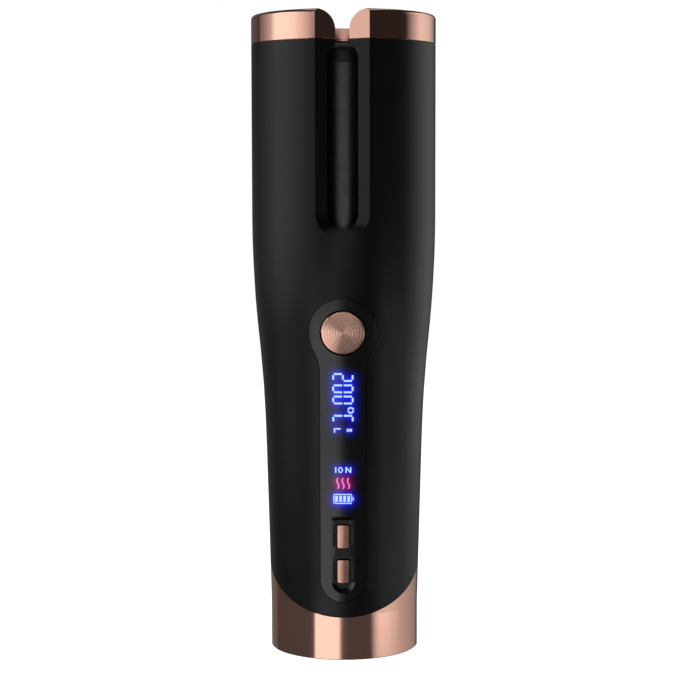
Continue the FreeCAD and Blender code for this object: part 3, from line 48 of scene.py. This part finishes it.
def linearColour(hexCode):
    # sRGB hex to linear: c / 12.92 low down, ((c + 0.055) / 1.055) to the power 2.4 above
    parts = np.array([int(hexCode[i:i + 2], 16) for i in (1, 3, 5)]) / 255.0
    linear = np.where(parts <= 0.04045, parts / 12.92, ((parts + 0.055) / 1.055) ** 2.4)
    return (*linear.tolist(), 1.0)


def addNode(tree, kind, inputs=None, **settings):
    # one shader node with its settings; an input is a value or another node's socket to link
    made = tree.nodes.new("ShaderNode" + kind)
    for key, value in settings.items():
        setattr(made, key, value)
    for key, value in (inputs or {}).items():
        if isinstance(value, bpy.types.NodeSocket):
            tree.links.new(value, made.inputs[key])
        else:
            made.inputs[key].default_value = value
    return made


def emptyTree(owner):  # switches nodes on and clears them
    owner.use_nodes = True
    owner.node_tree.nodes.clear()
    return owner.node_tree


cameraValues = {"away": 0.5893, "height": 0.1418, "azimuth": 0.8, "pitch": -4.6, "roll": 0.1, "lens": 98.2,
                "sensor": 36.0, "shift": -0.0003}

camera = bpy.data.objects.new("camera", bpy.data.cameras.new("camera"))
camera.data.lens = cameraValues["lens"]
camera.data.sensor_width = cameraValues["sensor"]
camera.data.shift_x = cameraValues["shift"]
turn = math.radians(cameraValues["azimuth"])
camera.location = (cameraValues["away"] * math.sin(turn), -cameraValues["away"] * math.cos(turn),
                   cameraValues["height"])
camera.rotation_euler = (math.radians(90.0 + cameraValues["pitch"]), math.radians(cameraValues["roll"]), turn)
scene.collection.objects.link(camera)
scene.camera = camera
scene.view_settings.view_transform = "Standard"

# Upright softboxes round the object: azimuth range (0 is the camera's side, plus is right), height range,
# and how bright the box is along its width, as (share of the width, brightness). Their ends fade out.
softboxes = {
    "upperLeft": {"azimuth": (-126, -31), "height": (-0.045, 0.75),
                  "levels": ((0, 0.12), (0.2, 0.3), (0.33, 0.55), (0.4, 1.3), (0.6, 1.19), (1, 0.1))},
    "upperRight": {"azimuth": (84, 156), "height": (-0.08, 0.75),
                   "levels": ((0, 0), (0.38, 0.9), (0.6, 0.75), (1, 0.08))},
    "front": {"azimuth": (-13, 16), "height": (0.05, 0.28), "levels": ((0, 1.1), (1, 0.8))},
    "faceStrip": {"azimuth": (-5, -0.6), "height": (-0.15, -0.07), "levels": ((0, 1.19), (1, 1.19))},
    "lowerLeft": {"azimuth": (-46, -5), "height": (-0.42, -0.03),
                  "levels": ((0, 1.19), (0.9, 1.19), (1, 0.6))},
    "lowerRight": {"azimuth": (44, 156), "height": (-0.42, -0.04),
                   "levels": ((0, 0.1), (0.16, 0.62), (0.32, 0.6), (0.6, 0.36), (1, 0.1))},
    "midRight": {"azimuth": (44, 96), "height": (-0.20, -0.04), "levels": ((0, 0.1), (0.3, 0.4), (1, 0.1))},
    "backLeft": {"azimuth": (-165, -130), "height": (-0.42, 0.75), "levels": ((0, 0.1), (1, 0.06))},
    "behind": {"azimuth": (172, 188), "height": (-0.42, 0.75), "levels": ((0, 0.7), (1, 0.7))},
}
boxValues = {"away": 0.8, "softEnd": 0.03}
topLight = {"height": 0.9, "size": 0.7, "bright": 0.5}


def areaLight(name, place, aim, width, height, levels):
    # A power of pi times the area is a brightness of 1, which the ramp scales across the width and which
    # falls to nothing over the last stretch of the height.
    data = bpy.data.lights.new(name, "AREA")
    data.shape = "RECTANGLE"
    data.size = width
    data.size_y = height
    data.energy = math.pi * width * height
    tree = emptyTree(data)
    spot = addNode(tree, "SeparateXYZ", {0: addNode(tree, "NewGeometry").outputs["Parametric"]})
    across = addNode(tree, "ValToRGB", {0: spot.outputs["X"]})
    ramp = across.color_ramp.elements
    while len(ramp) < len(levels):
        ramp.new(0.5)
    for element, (share, bright) in zip(ramp, levels):
        element.position = share
        element.color = (bright, bright, bright, 1.0)
    upright = addNode(tree, "Math", {0: spot.outputs["Y"], 1: 0.5}, operation="SUBTRACT")
    fromMiddle = addNode(tree, "Math", {0: upright.outputs[0]}, operation="ABSOLUTE")
    metres = addNode(tree, "Math", {0: fromMiddle.outputs[0], 1: height}, operation="MULTIPLY")
    fade = addNode(tree, "MapRange", {"Value": metres.outputs[0], "From Min": 0.5 * height,
                                      "From Max": 0.5 * height - boxValues["softEnd"],
                                      "To Min": 0.0, "To Max": 1.0})
    glow = addNode(tree, "Emission", {"Color": across.outputs[0], "Strength": fade.outputs[0]})
    addNode(tree, "OutputLight", {"Surface": glow.outputs[0]})
    lamp = bpy.data.objects.new(name, data)
    lamp.location = place
    lamp.rotation_euler = (Vector(aim) - Vector(place)).to_track_quat("-Z", "Y").to_euler()
    lamp.visible_camera = False
    scene.collection.objects.link(lamp)


for name, box in softboxes.items():
    low, high = (math.radians(a) for a in box["azimuth"])
    middle = 0.5 * (low + high)
    level = 0.5 * sum(box["height"])
    place = (boxValues["away"] * math.sin(middle), -boxValues["away"] * math.cos(middle), level)
    width = 2.0 * boxValues["away"] * math.tan(0.5 * (high - low))
    areaLight(name, place, (0.0, 0.0, level), width, box["height"][1] - box["height"][0], box["levels"])
areaLight("topLight", (0.0, 0.0, topLight["height"]), (0.0, 0.0, 0.0), topLight["size"], topLight["size"],
          ((0, topLight["bright"]), (1, topLight["bright"])))

# The camera sees white all round; other rays see a dim sky, a little brighter below the horizon.
skyValues = {"seen": "#FFFFFF", "low": 0.07, "high": 0.02, "blend": 0.05}
scene.world = bpy.data.worlds.new("studio")
tree = emptyTree(scene.world)
way = addNode(tree, "SeparateXYZ", {0: addNode(tree, "TexCoord").outputs["Generated"]})
level = addNode(tree, "MapRange", {"Value": way.outputs["Z"], "From Min": -skyValues["blend"],
                                   "From Max": skyValues["blend"], "To Min": skyValues["low"],
                                   "To Max": skyValues["high"]})
dim = addNode(tree, "Background", {"Color": (1.0, 1.0, 1.0, 1.0), "Strength": level.outputs[0]})
seen = addNode(tree, "Background", {"Color": linearColour(skyValues["seen"]), "Strength": 1.0})
chosen = addNode(tree, "MixShader", {0: addNode(tree, "LightPath").outputs["Is Camera Ray"],
                                     1: dim.outputs[0], 2: seen.outputs[0]})
addNode(tree, "OutputWorld", {"Surface": chosen.outputs[0]})

# Pale matte paint, lifted so that the floor meets the background without a line.
floorValues = {"half": 6.0, "dark": "#F2F1EF", "light": "#F7F6F5", "cloud": 3.0, "lift": 1.0}
floorMesh = bpy.data.meshes.new("floor")
corners = floorValues["half"] * np.array([(-1, -1, 0), (1, -1, 0), (1, 1, 0), (-1, 1, 0)], float)
floorMesh.from_pydata(corners.tolist(), [], [(0, 1, 2, 3)])
floor = bpy.data.objects.new("floor", floorMesh)
scene.collection.objects.link(floor)
floorPaint = bpy.data.materials.new("paintedStudioFloor")
tree = emptyTree(floorPaint)
cloud = addNode(tree, "TexNoise", {"Scale": floorValues["cloud"], "Detail": 2.0})
tone = addNode(tree, "Mix", {0: cloud.outputs["Fac"], 6: linearColour(floorValues["dark"]),
                             7: linearColour(floorValues["light"])}, data_type="RGBA")
paint = addNode(tree, "BsdfPrincipled", {"Base Color": tone.outputs[2], "Roughness": 0.8,
                                         "Emission Color": (1.0, 1.0, 1.0, 1.0),
                                         "Emission Strength": floorValues["lift"]})
addNode(tree, "OutputMaterial", {"Surface": paint.outputs[0]})
floorMesh.materials.append(floorPaint)
# the object's shine shows the softboxes, and not the floor
floor.visible_glossy = False
floor.visible_diffuse = False
floor.visible_shadow = False
print("camera, light and floor made")


def grainFinish(name, dark, light, grainMm, cloudMm, roughness, spread, bumpMm, more=None):
    # Two close colours in soft clouds, roughness moved by the clouds, and a bump from a fine grain.
    # A pattern's scale is 1000 over its size in millimetres, because Object coordinates are in metres.
    material = bpy.data.materials.new(name)
    tree = emptyTree(material)
    place = addNode(tree, "TexCoord").outputs["Object"]
    grain = addNode(tree, "TexNoise", {"Vector": place, "Scale": 1000.0 / grainMm, "Detail": 3.0,
                                       "Roughness": 0.6})
    cloud = addNode(tree, "TexNoise", {"Vector": place, "Scale": 1000.0 / cloudMm, "Detail": 2.0})
    tint = addNode(tree, "Mix", {0: cloud.outputs["Fac"], 6: linearColour(dark), 7: linearColour(light)},
                   data_type="RGBA")
    rough = addNode(tree, "MapRange", {"Value": cloud.outputs["Fac"], "From Min": 0.3, "From Max": 0.7,
                                       "To Min": roughness - spread, "To Max": roughness + spread})
    bump = addNode(tree, "Bump", {"Height": grain.outputs["Fac"], "Strength": 1.0, "Distance": bumpMm * mm})
    shader = addNode(tree, "BsdfPrincipled", {"Base Color": tint.outputs[2], "Roughness": rough.outputs[0],
                                              "Normal": bump.outputs[0], **(more or {})})
    addNode(tree, "OutputMaterial", {"Surface": shader.outputs[0]})
    return material


metal = {"Metallic": 1.0}
finishes = {
    # sprayed soft-touch coat: deep black with a broad, dull sheen
    "body_black": grainFinish("softTouchCoatedAbs", "#0D0D0E", "#121213", 0.25, 18.0, 0.34, 0.02, 0.0012,
                              {"IOR": 1.4}),
    # bright plating on smooth moulded plastic: mirror-like, with the least orange peel
    "rose_gold": grainFinish("roseGoldPlatedAbs", "#F6C0AB", "#F8C2AF", 6.0, 25.0, 0.13, 0.015, 0.003, metal),
    # satin plating on the keys: the softboxes blur into soft bands
    "rose_gold_key": grainFinish("satinRoseGoldPlatedAbs", "#F4BDA8", "#F7C2AE", 0.4, 6.0, 0.2, 0.02, 0.0008,
                                 metal),
    # polished mould, uncoated: darker and sharper than the soft-touch body
    "panel_gloss": grainFinish("polishedBlackAbs", "#0B0B0C", "#0F0F10", 0.6, 20.0, 0.22, 0.015, 0.0006,
                               {"IOR": 1.58}),
    # moulded inside parts: dull black with a slight flow mottle
    "black_nylon": grainFinish("mouldedBlackNylon", "#17171A", "#202022", 0.35, 5.0, 0.5, 0.05, 0.006),
    # glass-filled moulding: greyer, with fibres near the surface
    "heat_plastic": grainFinish("glassFilledPps", "#1C1C1C", "#2A2927", 0.18, 3.0, 0.55, 0.05, 0.008),
    # satin glass-free mouldings of the barrel's tip and the sleeve: smooth, dim sheen
    "tip_plastic": grainFinish("satinMouldedPps", "#121212", "#171716", 0.25, 6.0, 0.38, 0.03, 0.002),
    "rotor_black": grainFinish("satinMouldedPpsRotor", "#131313", "#191918", 0.25, 8.0, 0.4, 0.03, 0.002),
    # sprayed ceramic on aluminium: satin black with a fine pearl-like mottle
    "barrel_coating": grainFinish("ceramicCoatedAluminium", "#161617", "#222224", 0.12, 2.5, 0.3, 0.03,
                                  0.0015, {"IOR": 1.75}),
    # silicone rubber: matte, with a fine moulded texture
    "foot_rubber": grainFinish("mouldedSiliconeRubber", "#161616", "#1E1E1E", 0.3, 4.0, 0.7, 0.05, 0.01),
    # metals: cool zinc, bright drawn steel, warm nickel, yellow brass, dull extruded aluminium
    "screw_steel": grainFinish("zincPlatedSteel", "#B9BABC", "#CFD0D1", 0.15, 1.2, 0.34, 0.06, 0.003, metal),
    "bright_steel": grainFinish("drawnBrightSteel", "#CACBCD", "#DADBDC", 0.2, 3.0, 0.2, 0.04, 0.001, metal),
    "nickel": grainFinish("nickelStrip", "#C3BDB2", "#D4CFC6", 0.2, 2.0, 0.26, 0.05, 0.001, metal),
    "gear_brass": grainFinish("machinedBrass", "#CBA45C", "#DDBB77", 0.12, 2.0, 0.25, 0.05, 0.002, metal),
    "raw_aluminium": grainFinish("extrudedAluminium", "#C6C8CA", "#D8DADB", 0.15, 2.5, 0.35, 0.06, 0.003,
                                 metal),
    # acetal lets a little light in, so its edges look milky
    "gear_plastic": grainFinish("naturalAcetal", "#E4E1D5", "#EFEDE4", 0.5, 4.0, 0.35, 0.03, 0.001,
                                {"IOR": 1.48, "Subsurface Weight": 0.1}),
    "white_plastic": grainFinish("mouldedWhiteAbs", "#E3E3DF", "#EFEFEC", 0.4, 4.0, 0.45, 0.04, 0.003),
    # solder mask over glass weave: the weave shows as a faint rib
    "circuit_board": grainFinish("greenSolderMask", "#0F4424", "#18592F", 0.6, 1.6, 0.28, 0.05, 0.006),
    # moulded epoxy, shrink film with a soft shine, and silicone lead sleeves that look dull
    "chip_black": grainFinish("mouldedEpoxyChip", "#191919", "#232323", 0.12, 1.5, 0.5, 0.05, 0.004),
    "cell_sleeve": grainFinish("blueShrinkSleeve", "#2A6EA8", "#3B82BC", 0.8, 9.0, 0.3, 0.05, 0.004),
    "lead_red": grainFinish("redSiliconeSleeve", "#9E1710", "#B52318", 0.3, 2.0, 0.5, 0.05, 0.003),
    "lead_black": grainFinish("blackSiliconeSleeve", "#141414", "#1C1C1C", 0.3, 2.0, 0.5, 0.05, 0.003),
    # braided glass sleeve: off-white with a coarse rib
    "lead_white": grainFinish("braidedGlassSleeve", "#D6D2C6", "#ECE9DF", 0.25, 0.8, 0.65, 0.05, 0.02),
    # amber film, matte fired ceramic, a clear amber glass bead and a glazed case
    "ribbon_amber": grainFinish("polyimideFilm", "#A8641A", "#C27C28", 1.0, 2.5, 0.22, 0.04, 0.001),
    "ptc_ceramic": grainFinish("sinteredCeramic", "#5A5653", "#6E6966", 0.15, 1.2, 0.6, 0.05, 0.006),
    "glass_bead": grainFinish("glassBead", "#C9935A", "#DDB07A", 0.8, 1.5, 0.08, 0.02, 0.001, {"IOR": 1.52}),
    "fuse_white": grainFinish("glazedCeramicCase", "#E2DED2", "#F0ECE3", 0.5, 2.0, 0.25, 0.04, 0.002),
}


def turnedFinish():
    # Cut rings stretch the gloss across them: u goes round the disc, v is the radius in millimetres.
    values = {"dark": "#F4BDA8", "light": "#F9C8B4", "cutMm": 0.1, "roughness": 0.2, "spread": 0.03,
              "stretch": 0.85}
    material = bpy.data.materials.new("turnedRoseGoldAluminium")
    tree = emptyTree(material)
    rings = addNode(tree, "UVMap", uv_map="rings")
    along = addNode(tree, "SeparateXYZ", {0: rings.outputs[0]})
    cuts = addNode(tree, "TexNoise", {"W": along.outputs["Y"], "Scale": 1.0 / values["cutMm"], "Detail": 2.0},
                   noise_dimensions="1D")
    tint = addNode(tree, "Mix", {0: cuts.outputs["Fac"], 6: linearColour(values["dark"]),
                                 7: linearColour(values["light"])}, data_type="RGBA")
    rough = addNode(tree, "MapRange", {"Value": cuts.outputs["Fac"],
                                       "To Min": values["roughness"] - values["spread"],
                                       "To Max": values["roughness"] + values["spread"]})
    way = addNode(tree, "Tangent", direction_type="UV_MAP", uv_map="rings")
    shader = addNode(tree, "BsdfPrincipled", {"Base Color": tint.outputs[2], "Roughness": rough.outputs[0],
                                              "Metallic": 1.0, "Anisotropic": values["stretch"],
                                              "Anisotropic Rotation": 0.25, "Tangent": way.outputs[0]})
    addNode(tree, "OutputMaterial", {"Surface": shader.outputs[0]})
    return material


finishes["rose_gold_spun"] = turnedFinish()
steamMarks = {"low": 52.5 * mm, "high": 57.0 * mm}  # heights between which the marks are pink


def litFinish():  # clear acrylic lit from behind: blue-white marks, pink where the steam lines are
    values = {"blue": "#C2E4FF", "pink": "#FF8FE0", "unlit": "#203040", "strength": 1.0}
    material = bpy.data.materials.new("litClearAcrylic")
    tree = emptyTree(material)
    height = addNode(tree, "SeparateXYZ", {0: addNode(tree, "TexCoord").outputs["Object"]}).outputs["Z"]
    middle = 0.5 * (steamMarks["low"] + steamMarks["high"])
    steam = addNode(tree, "Math", {0: height, 1: middle, 2: steamMarks["high"] - middle}, operation="COMPARE")
    tint = addNode(tree, "Mix", {0: steam.outputs[0], 6: linearColour(values["blue"]),
                                 7: linearColour(values["pink"])}, data_type="RGBA")
    shader = addNode(tree, "BsdfPrincipled", {"Base Color": linearColour(values["unlit"]), "Roughness": 0.3,
                                              "Emission Color": tint.outputs[2],
                                              "Emission Strength": values["strength"]})
    addNode(tree, "OutputMaterial", {"Surface": shader.outputs[0]})
    return material


finishes["lit_display"] = litFinish()
for node in cadNodes.values():
    node.data.materials[0] = finishes[node.data.materials[0].name]
print("finishes made")


def mergedCopy(nodeName, pieceName):  # an empty mesh, and a CAD node's shape with its doubled corners joined
    mesh = bpy.data.meshes.new(pieceName)
    work = bmesh.new()
    work.from_mesh(cadNodes[nodeName].data)
    bmesh.ops.remove_doubles(work, verts=work.verts, dist=1e-6)
    bmesh.ops.dissolve_degenerate(work, edges=work.edges, dist=1e-7)
    return mesh, work


def addPiece(pieceName, mesh, body, replaced):
    piece = bpy.data.objects.new(pieceName, mesh)
    scene.collection.objects.link(piece)
    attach(piece, body)
    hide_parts(*replaced)
    return piece


def plainNormals(mesh):  # smooth over round faces, sharp where faces meet at more than 30 degrees
    if "custom_normal" in mesh.attributes:
        mesh.attributes.remove(mesh.attributes["custom_normal"])
    mesh.shade_smooth()
    mesh.set_sharp_from_angle(angle=math.radians(30))


def vertexPlaces(mesh):
    places = np.empty(len(mesh.vertices) * 3)
    mesh.vertices.foreach_get("co", places)
    return places.reshape(-1, 3)


outline = {"base": 22.95, "taper": 0.028, "flat": 14.0, "waist": 66.0, "bend": 98.0, "shoulder": 136.0,
           "top": 28.5}


def bodyRadius(z):
    # The body's outline, as the CAD has it: a taper, a hollow flare, a round flare, then straight.
    o = outline
    up = z / mm
    waist = o["base"] + o["taper"] * (o["waist"] - o["flat"])
    lowRun = o["bend"] - o["waist"]
    highRun = o["shoulder"] - o["bend"]
    flare = 2 * (o["top"] - waist - 0.5 * o["taper"] * lowRun) / (lowRun + highRun)
    tapered = o["base"] + o["taper"] * np.maximum(up - o["flat"], 0)
    hollow = (waist + o["taper"] * (up - o["waist"])
              + (flare - o["taper"]) * (up - o["waist"]) ** 2 / (2 * lowRun))
    rounded = o["top"] - flare * (o["shoulder"] - up) ** 2 / (2 * highRun)
    ranges = [up <= o["waist"], up <= o["bend"], up <= o["shoulder"]]
    return mm * np.select(ranges, [tapered, hollow, rounded], o["top"])


# A corner is on the body's outside when its face turns that way and it lies this near the outline.
skinValues = {"facing": 0.96, "near": 0.08 * mm, "step": 0.5 * mm}


def skinNormals(mesh):  # corners on the body's outside take the outline's own normal, (radial, -slope)
    v = skinValues
    places = vertexPlaces(mesh)
    corners = np.empty(len(mesh.loops), np.int32)
    mesh.loops.foreach_get("vertex_index", corners)
    normals = np.empty(len(mesh.loops) * 3)
    mesh.corner_normals.foreach_get("vector", normals)
    normals = normals.reshape(-1, 3)
    spots = places[corners]
    away = np.hypot(spots[:, 0], spots[:, 1])
    slope = (bodyRadius(spots[:, 2] + v["step"]) - bodyRadius(spots[:, 2] - v["step"])) / (2 * v["step"])
    skin = np.stack([spots[:, 0] / away, spots[:, 1] / away, -slope], 1)
    skin /= np.linalg.norm(skin, axis=1)[:, None]
    counts = np.empty(len(mesh.polygons), np.int32)
    mesh.polygons.foreach_get("loop_total", counts)
    faceNormals = np.empty(len(mesh.polygons) * 3)
    mesh.polygons.foreach_get("normal", faceNormals)
    facing = (np.repeat(faceNormals.reshape(-1, 3), counts, axis=0) * skin).sum(1) > v["facing"]
    onSkin = facing & (np.abs(away - bodyRadius(spots[:, 2])) < v["near"])
    normals[onSkin] = skin[onSkin]
    mesh.normals_split_custom_set(normals.tolist())


# The panel, cut into small cells round the marks, so that its surface can carry their blue and pink light.
panelValues = {"cell": 0.35 * mm, "half": 5.2 * mm, "low": 46.0 * mm, "high": 90.5 * mm, "front": -21.0 * mm,
               "core": 0.6 * mm, "spread": 1.25 * mm, "coreShare": 0.5, "gain": 3.0, "samples": 4,
               "markDepth": 0.12 * mm, "leastArea": 1e-11, "block": 4000,
               "blue": "#1820FF", "pink": "#C01888", "strength": 0.95}


def markSamples():  # points on the lit marks' front faces, seen from the front, with the area each stands for
    v = panelValues
    mesh = cadNodes["display_light_guide"].data
    mesh.calc_loop_triangles()
    corners = np.empty(len(mesh.loop_triangles) * 3, np.int32)
    mesh.loop_triangles.foreach_get("vertices", corners)
    spots = vertexPlaces(mesh)[corners.reshape(-1, 3)]
    sides = np.cross(spots[:, 1] - spots[:, 0], spots[:, 2] - spots[:, 0])
    area = 0.5 * np.abs(sides[:, 1])
    depth = np.abs(bodyRadius(spots[..., 2]) - np.hypot(spots[..., 0], spots[..., 1]))
    front = (depth.max(1) < v["markDepth"]) & (area > v["leastArea"])
    flat = spots[front][..., [0, 2]]
    steps = v["samples"]
    shares = np.array([((i + 1 / 3) / steps, (j + 1 / 3) / steps)
                       for i in range(steps) for j in range(steps - i)])
    a = shares[None, :, :1]
    b = shares[None, :, 1:]
    points = flat[:, None, 0] * (1 - a - b) + flat[:, None, 1] * a + flat[:, None, 2] * b
    weight = np.repeat(area[front][:, None] / len(shares), len(shares), axis=1)
    return points.reshape(-1, 2), weight.ravel()


def spotLight(away, width):  # a flat Gaussian whose whole sum is 1: exp(-d^2 / 2 w^2) / (2 pi w^2)
    return np.exp(-away / (2 * width ** 2)) / (2 * math.pi * width ** 2)


def cutIntoCells(work):  # planes one cell apart, first across and then up, through the faces round the marks
    v = panelValues
    for normal, low, high in (((1, 0, 0), -v["half"], v["half"]), ((0, 0, 1), v["low"], v["high"])):
        for level in np.arange(low, high + 0.5 * v["cell"], v["cell"]):
            near = [f for f in work.faces if all(p.co.y < v["front"] for p in f.verts)
                    and min(p.co.z for p in f.verts) < v["high"] and max(p.co.z for p in f.verts) > v["low"]]
            edges = list({e for f in near for e in f.edges})
            points = list({p for f in near for p in f.verts})
            bmesh.ops.bisect_plane(work, geom=near + edges + points, dist=1e-7,
                                   plane_co=[c * level for c in normal], plane_no=normal)


def makePanel():
    v = panelValues
    mesh, work = mergedCopy("control_panel", "panelSurface")
    cutIntoCells(work)
    work.to_mesh(mesh)
    work.free()
    plainNormals(mesh)
    skinNormals(mesh)
    flat = vertexPlaces(mesh)[:, [0, 2]]
    marks, area = markSamples()
    steam = (marks[:, 1] > steamMarks["low"]) & (marks[:, 1] < steamMarks["high"])
    blue = np.zeros(len(flat))
    pink = np.zeros(len(flat))
    for start in range(0, len(flat), v["block"]):  # blocks, to hold the table of distances in memory
        some = slice(start, start + v["block"])
        away = ((flat[some, None, :] - marks[None]) ** 2).sum(2)
        light = (v["coreShare"] * spotLight(away, v["core"])
                 + (1 - v["coreShare"]) * spotLight(away, v["spread"])) * v["gain"] * area[None]
        blue[some] = light[:, ~steam].sum(1)
        pink[some] = light[:, steam].sum(1)
    for name, values in (("blueLight", blue), ("pinkLight", pink)):
        layer = mesh.attributes.new(name, "FLOAT", "POINT")
        layer.data.foreach_set("value", np.clip(values, 0, 1).astype(np.float32))
    return mesh


def panelFinish():  # the polished black moulding, with the light that the marks spread through its surface
    v = panelValues
    material = finishes["panel_gloss"].copy()
    material.name = "polishedBlackAbsLit"
    tree = material.node_tree
    shader = next(n for n in tree.nodes if n.type == "BSDF_PRINCIPLED")
    parts = []
    for name, colour in (("blueLight", v["blue"]), ("pinkLight", v["pink"])):
        amount = addNode(tree, "Attribute", attribute_name=name).outputs["Fac"]
        parts.append(addNode(tree, "Mix", {0: amount, 6: linearColour("#000000"), 7: linearColour(colour)},
                             data_type="RGBA"))
    both = addNode(tree, "Mix", {0: 1.0, 6: parts[0].outputs[2], 7: parts[1].outputs[2]}, data_type="RGBA",
                   blend_type="ADD")
    tree.links.new(both.outputs[2], shader.inputs["Emission Color"])
    shader.inputs["Emission Strength"].default_value = v["strength"]
    return material


panel = addPiece("controlPanel", makePanel(), "casing", ["control_panel"])
panel.data.materials.clear()
panel.data.materials.append(panelFinish())
print("control panel made")


# The button's face: a turned metal disc with a low dome, fine rings and a rolled rim, leaning with the body.
# Lengths are in millimetres; reach is how far forward its middle lies, and lean is in degrees.
faceValues = {"radius": 6.5, "low": -0.95, "top": 0.25, "edge": 0.3, "dome": 0.2, "rings": 8,
              "ringDepth": 0.009, "around": 160, "steps": 120, "rimSteps": 6, "height": 100.4, "reach": 26.76,
              "lean": 5.57, "sharp": 50.0}


def faceProfile():
    # Height falls from the top by dome * (r / R) squared, less a rounded cut that repeats with each ring,
    # then a quarter circle rolls over the rim and the wall goes down to the low edge.
    v = faceValues
    flat = (v["radius"] - v["edge"]) * (1 - np.linspace(0, 1, v["steps"])[:-1])
    cut = v["ringDepth"] * (0.5 - 0.5 * np.cos(2 * math.pi * v["rings"] * flat / v["radius"])) ** 3
    face = v["top"] - v["dome"] * (flat / v["radius"]) ** 2 - cut
    turn = np.linspace(0, 0.5 * math.pi, v["rimSteps"] + 1)[:-1]
    rim = np.stack([v["radius"] - v["edge"] * (1 - np.cos(turn)),
                    face[0] - v["edge"] * (1 - np.sin(turn))], 1)
    return np.concatenate([[[v["radius"], v["low"]]], rim, np.stack([flat, face], 1)])


def makeButtonFace():
    v = faceValues
    profile = faceProfile()
    rows = len(profile)
    around = v["around"]
    turns = np.arange(around) * 2 * math.pi / around
    grid = np.stack([profile[:, :1] * np.cos(turns), profile[:, :1] * np.sin(turns),
                     np.repeat(profile[:, 1:], around, axis=1)], 2).reshape(-1, 3)
    local = np.concatenate([grid, [[0, 0, v["low"]], [0, 0, v["top"]]]])
    lean = math.radians(v["lean"])
    axes = np.array([(1, 0, 0), (0, -math.sin(lean), math.cos(lean)), (0, -math.cos(lean), -math.sin(lean))])
    places = (np.array([0, -v["reach"], v["height"]]) + local @ axes) * mm
    i, j = np.meshgrid(np.arange(rows - 1), np.arange(around), indexing="ij")
    after = (j + 1) % around
    quads = np.stack([i * around + j, i * around + after, (i + 1) * around + after, (i + 1) * around + j],
                     2).reshape(-1, 4)
    ring = np.arange(around)
    nextRing = (ring + 1) % around
    topRow = (rows - 1) * around
    lowFan = np.stack([nextRing, ring, np.full(around, rows * around)], 1)
    topFan = np.stack([topRow + ring, topRow + nextRing, np.full(around, rows * around + 1)], 1)
    mesh = bpy.data.meshes.new("buttonFace")
    mesh.from_pydata(places.tolist(), [], quads.tolist() + lowFan.tolist() + topFan.tolist())
    # UV: the share of a turn, kept whole across the seam by each face's first corner, and the radius
    corners = np.empty(len(mesh.loops), np.int32)
    mesh.loops.foreach_get("vertex_index", corners)
    angle = (np.arctan2(local[corners, 1], local[corners, 0]) / (2 * math.pi)) % 1.0
    counts = np.array([4] * len(quads) + [3] * (2 * around))
    first = np.repeat(angle[np.concatenate([[0], np.cumsum(counts)[:-1]])], counts)
    angle = angle - np.round(angle - first)
    radius = np.hypot(local[corners, 0], local[corners, 1])
    layer = mesh.uv_layers.new(name="rings")
    layer.data.foreach_set("uv", np.stack([angle, radius], 1).astype(np.float32).ravel())
    mesh.shade_smooth()
    mesh.set_sharp_from_angle(angle=math.radians(v["sharp"]))
    return mesh


buttonFace = addPiece("buttonFace", makeButtonFace(), "main_button", ["button_disc"])
buttonFace.data.materials.append(finishes["rose_gold_spun"])
print("button face made")

# The keys' caps with a small rounded edge, which catches a thin line of light.
keyValues = {"round": 0.16 * mm, "segments": 3, "angle": 35.0, "flat": 1.0}


def makeKey(nodeName, pieceName, body):
    mesh, work = mergedCopy(nodeName, pieceName)
    bmesh.ops.dissolve_limit(work, angle_limit=math.radians(keyValues["flat"]), verts=work.verts,
                             edges=work.edges)
    work.to_mesh(mesh)
    work.free()
    plainNormals(mesh)
    key = addPiece(pieceName, mesh, body, [nodeName])
    mesh.materials.clear()
    mesh.materials.append(finishes["rose_gold_key"])
    edge = key.modifiers.new("edge", "BEVEL")
    edge.width = keyValues["round"]
    edge.segments = keyValues["segments"]
    edge.limit_method = "ANGLE"
    edge.angle_limit = math.radians(keyValues["angle"])
    edge.harden_normals = True


makeKey("temperature_key", "temperatureKey", "temperature_button")
makeKey("timer_key", "timerKey", "timer_button")
print("keys made")
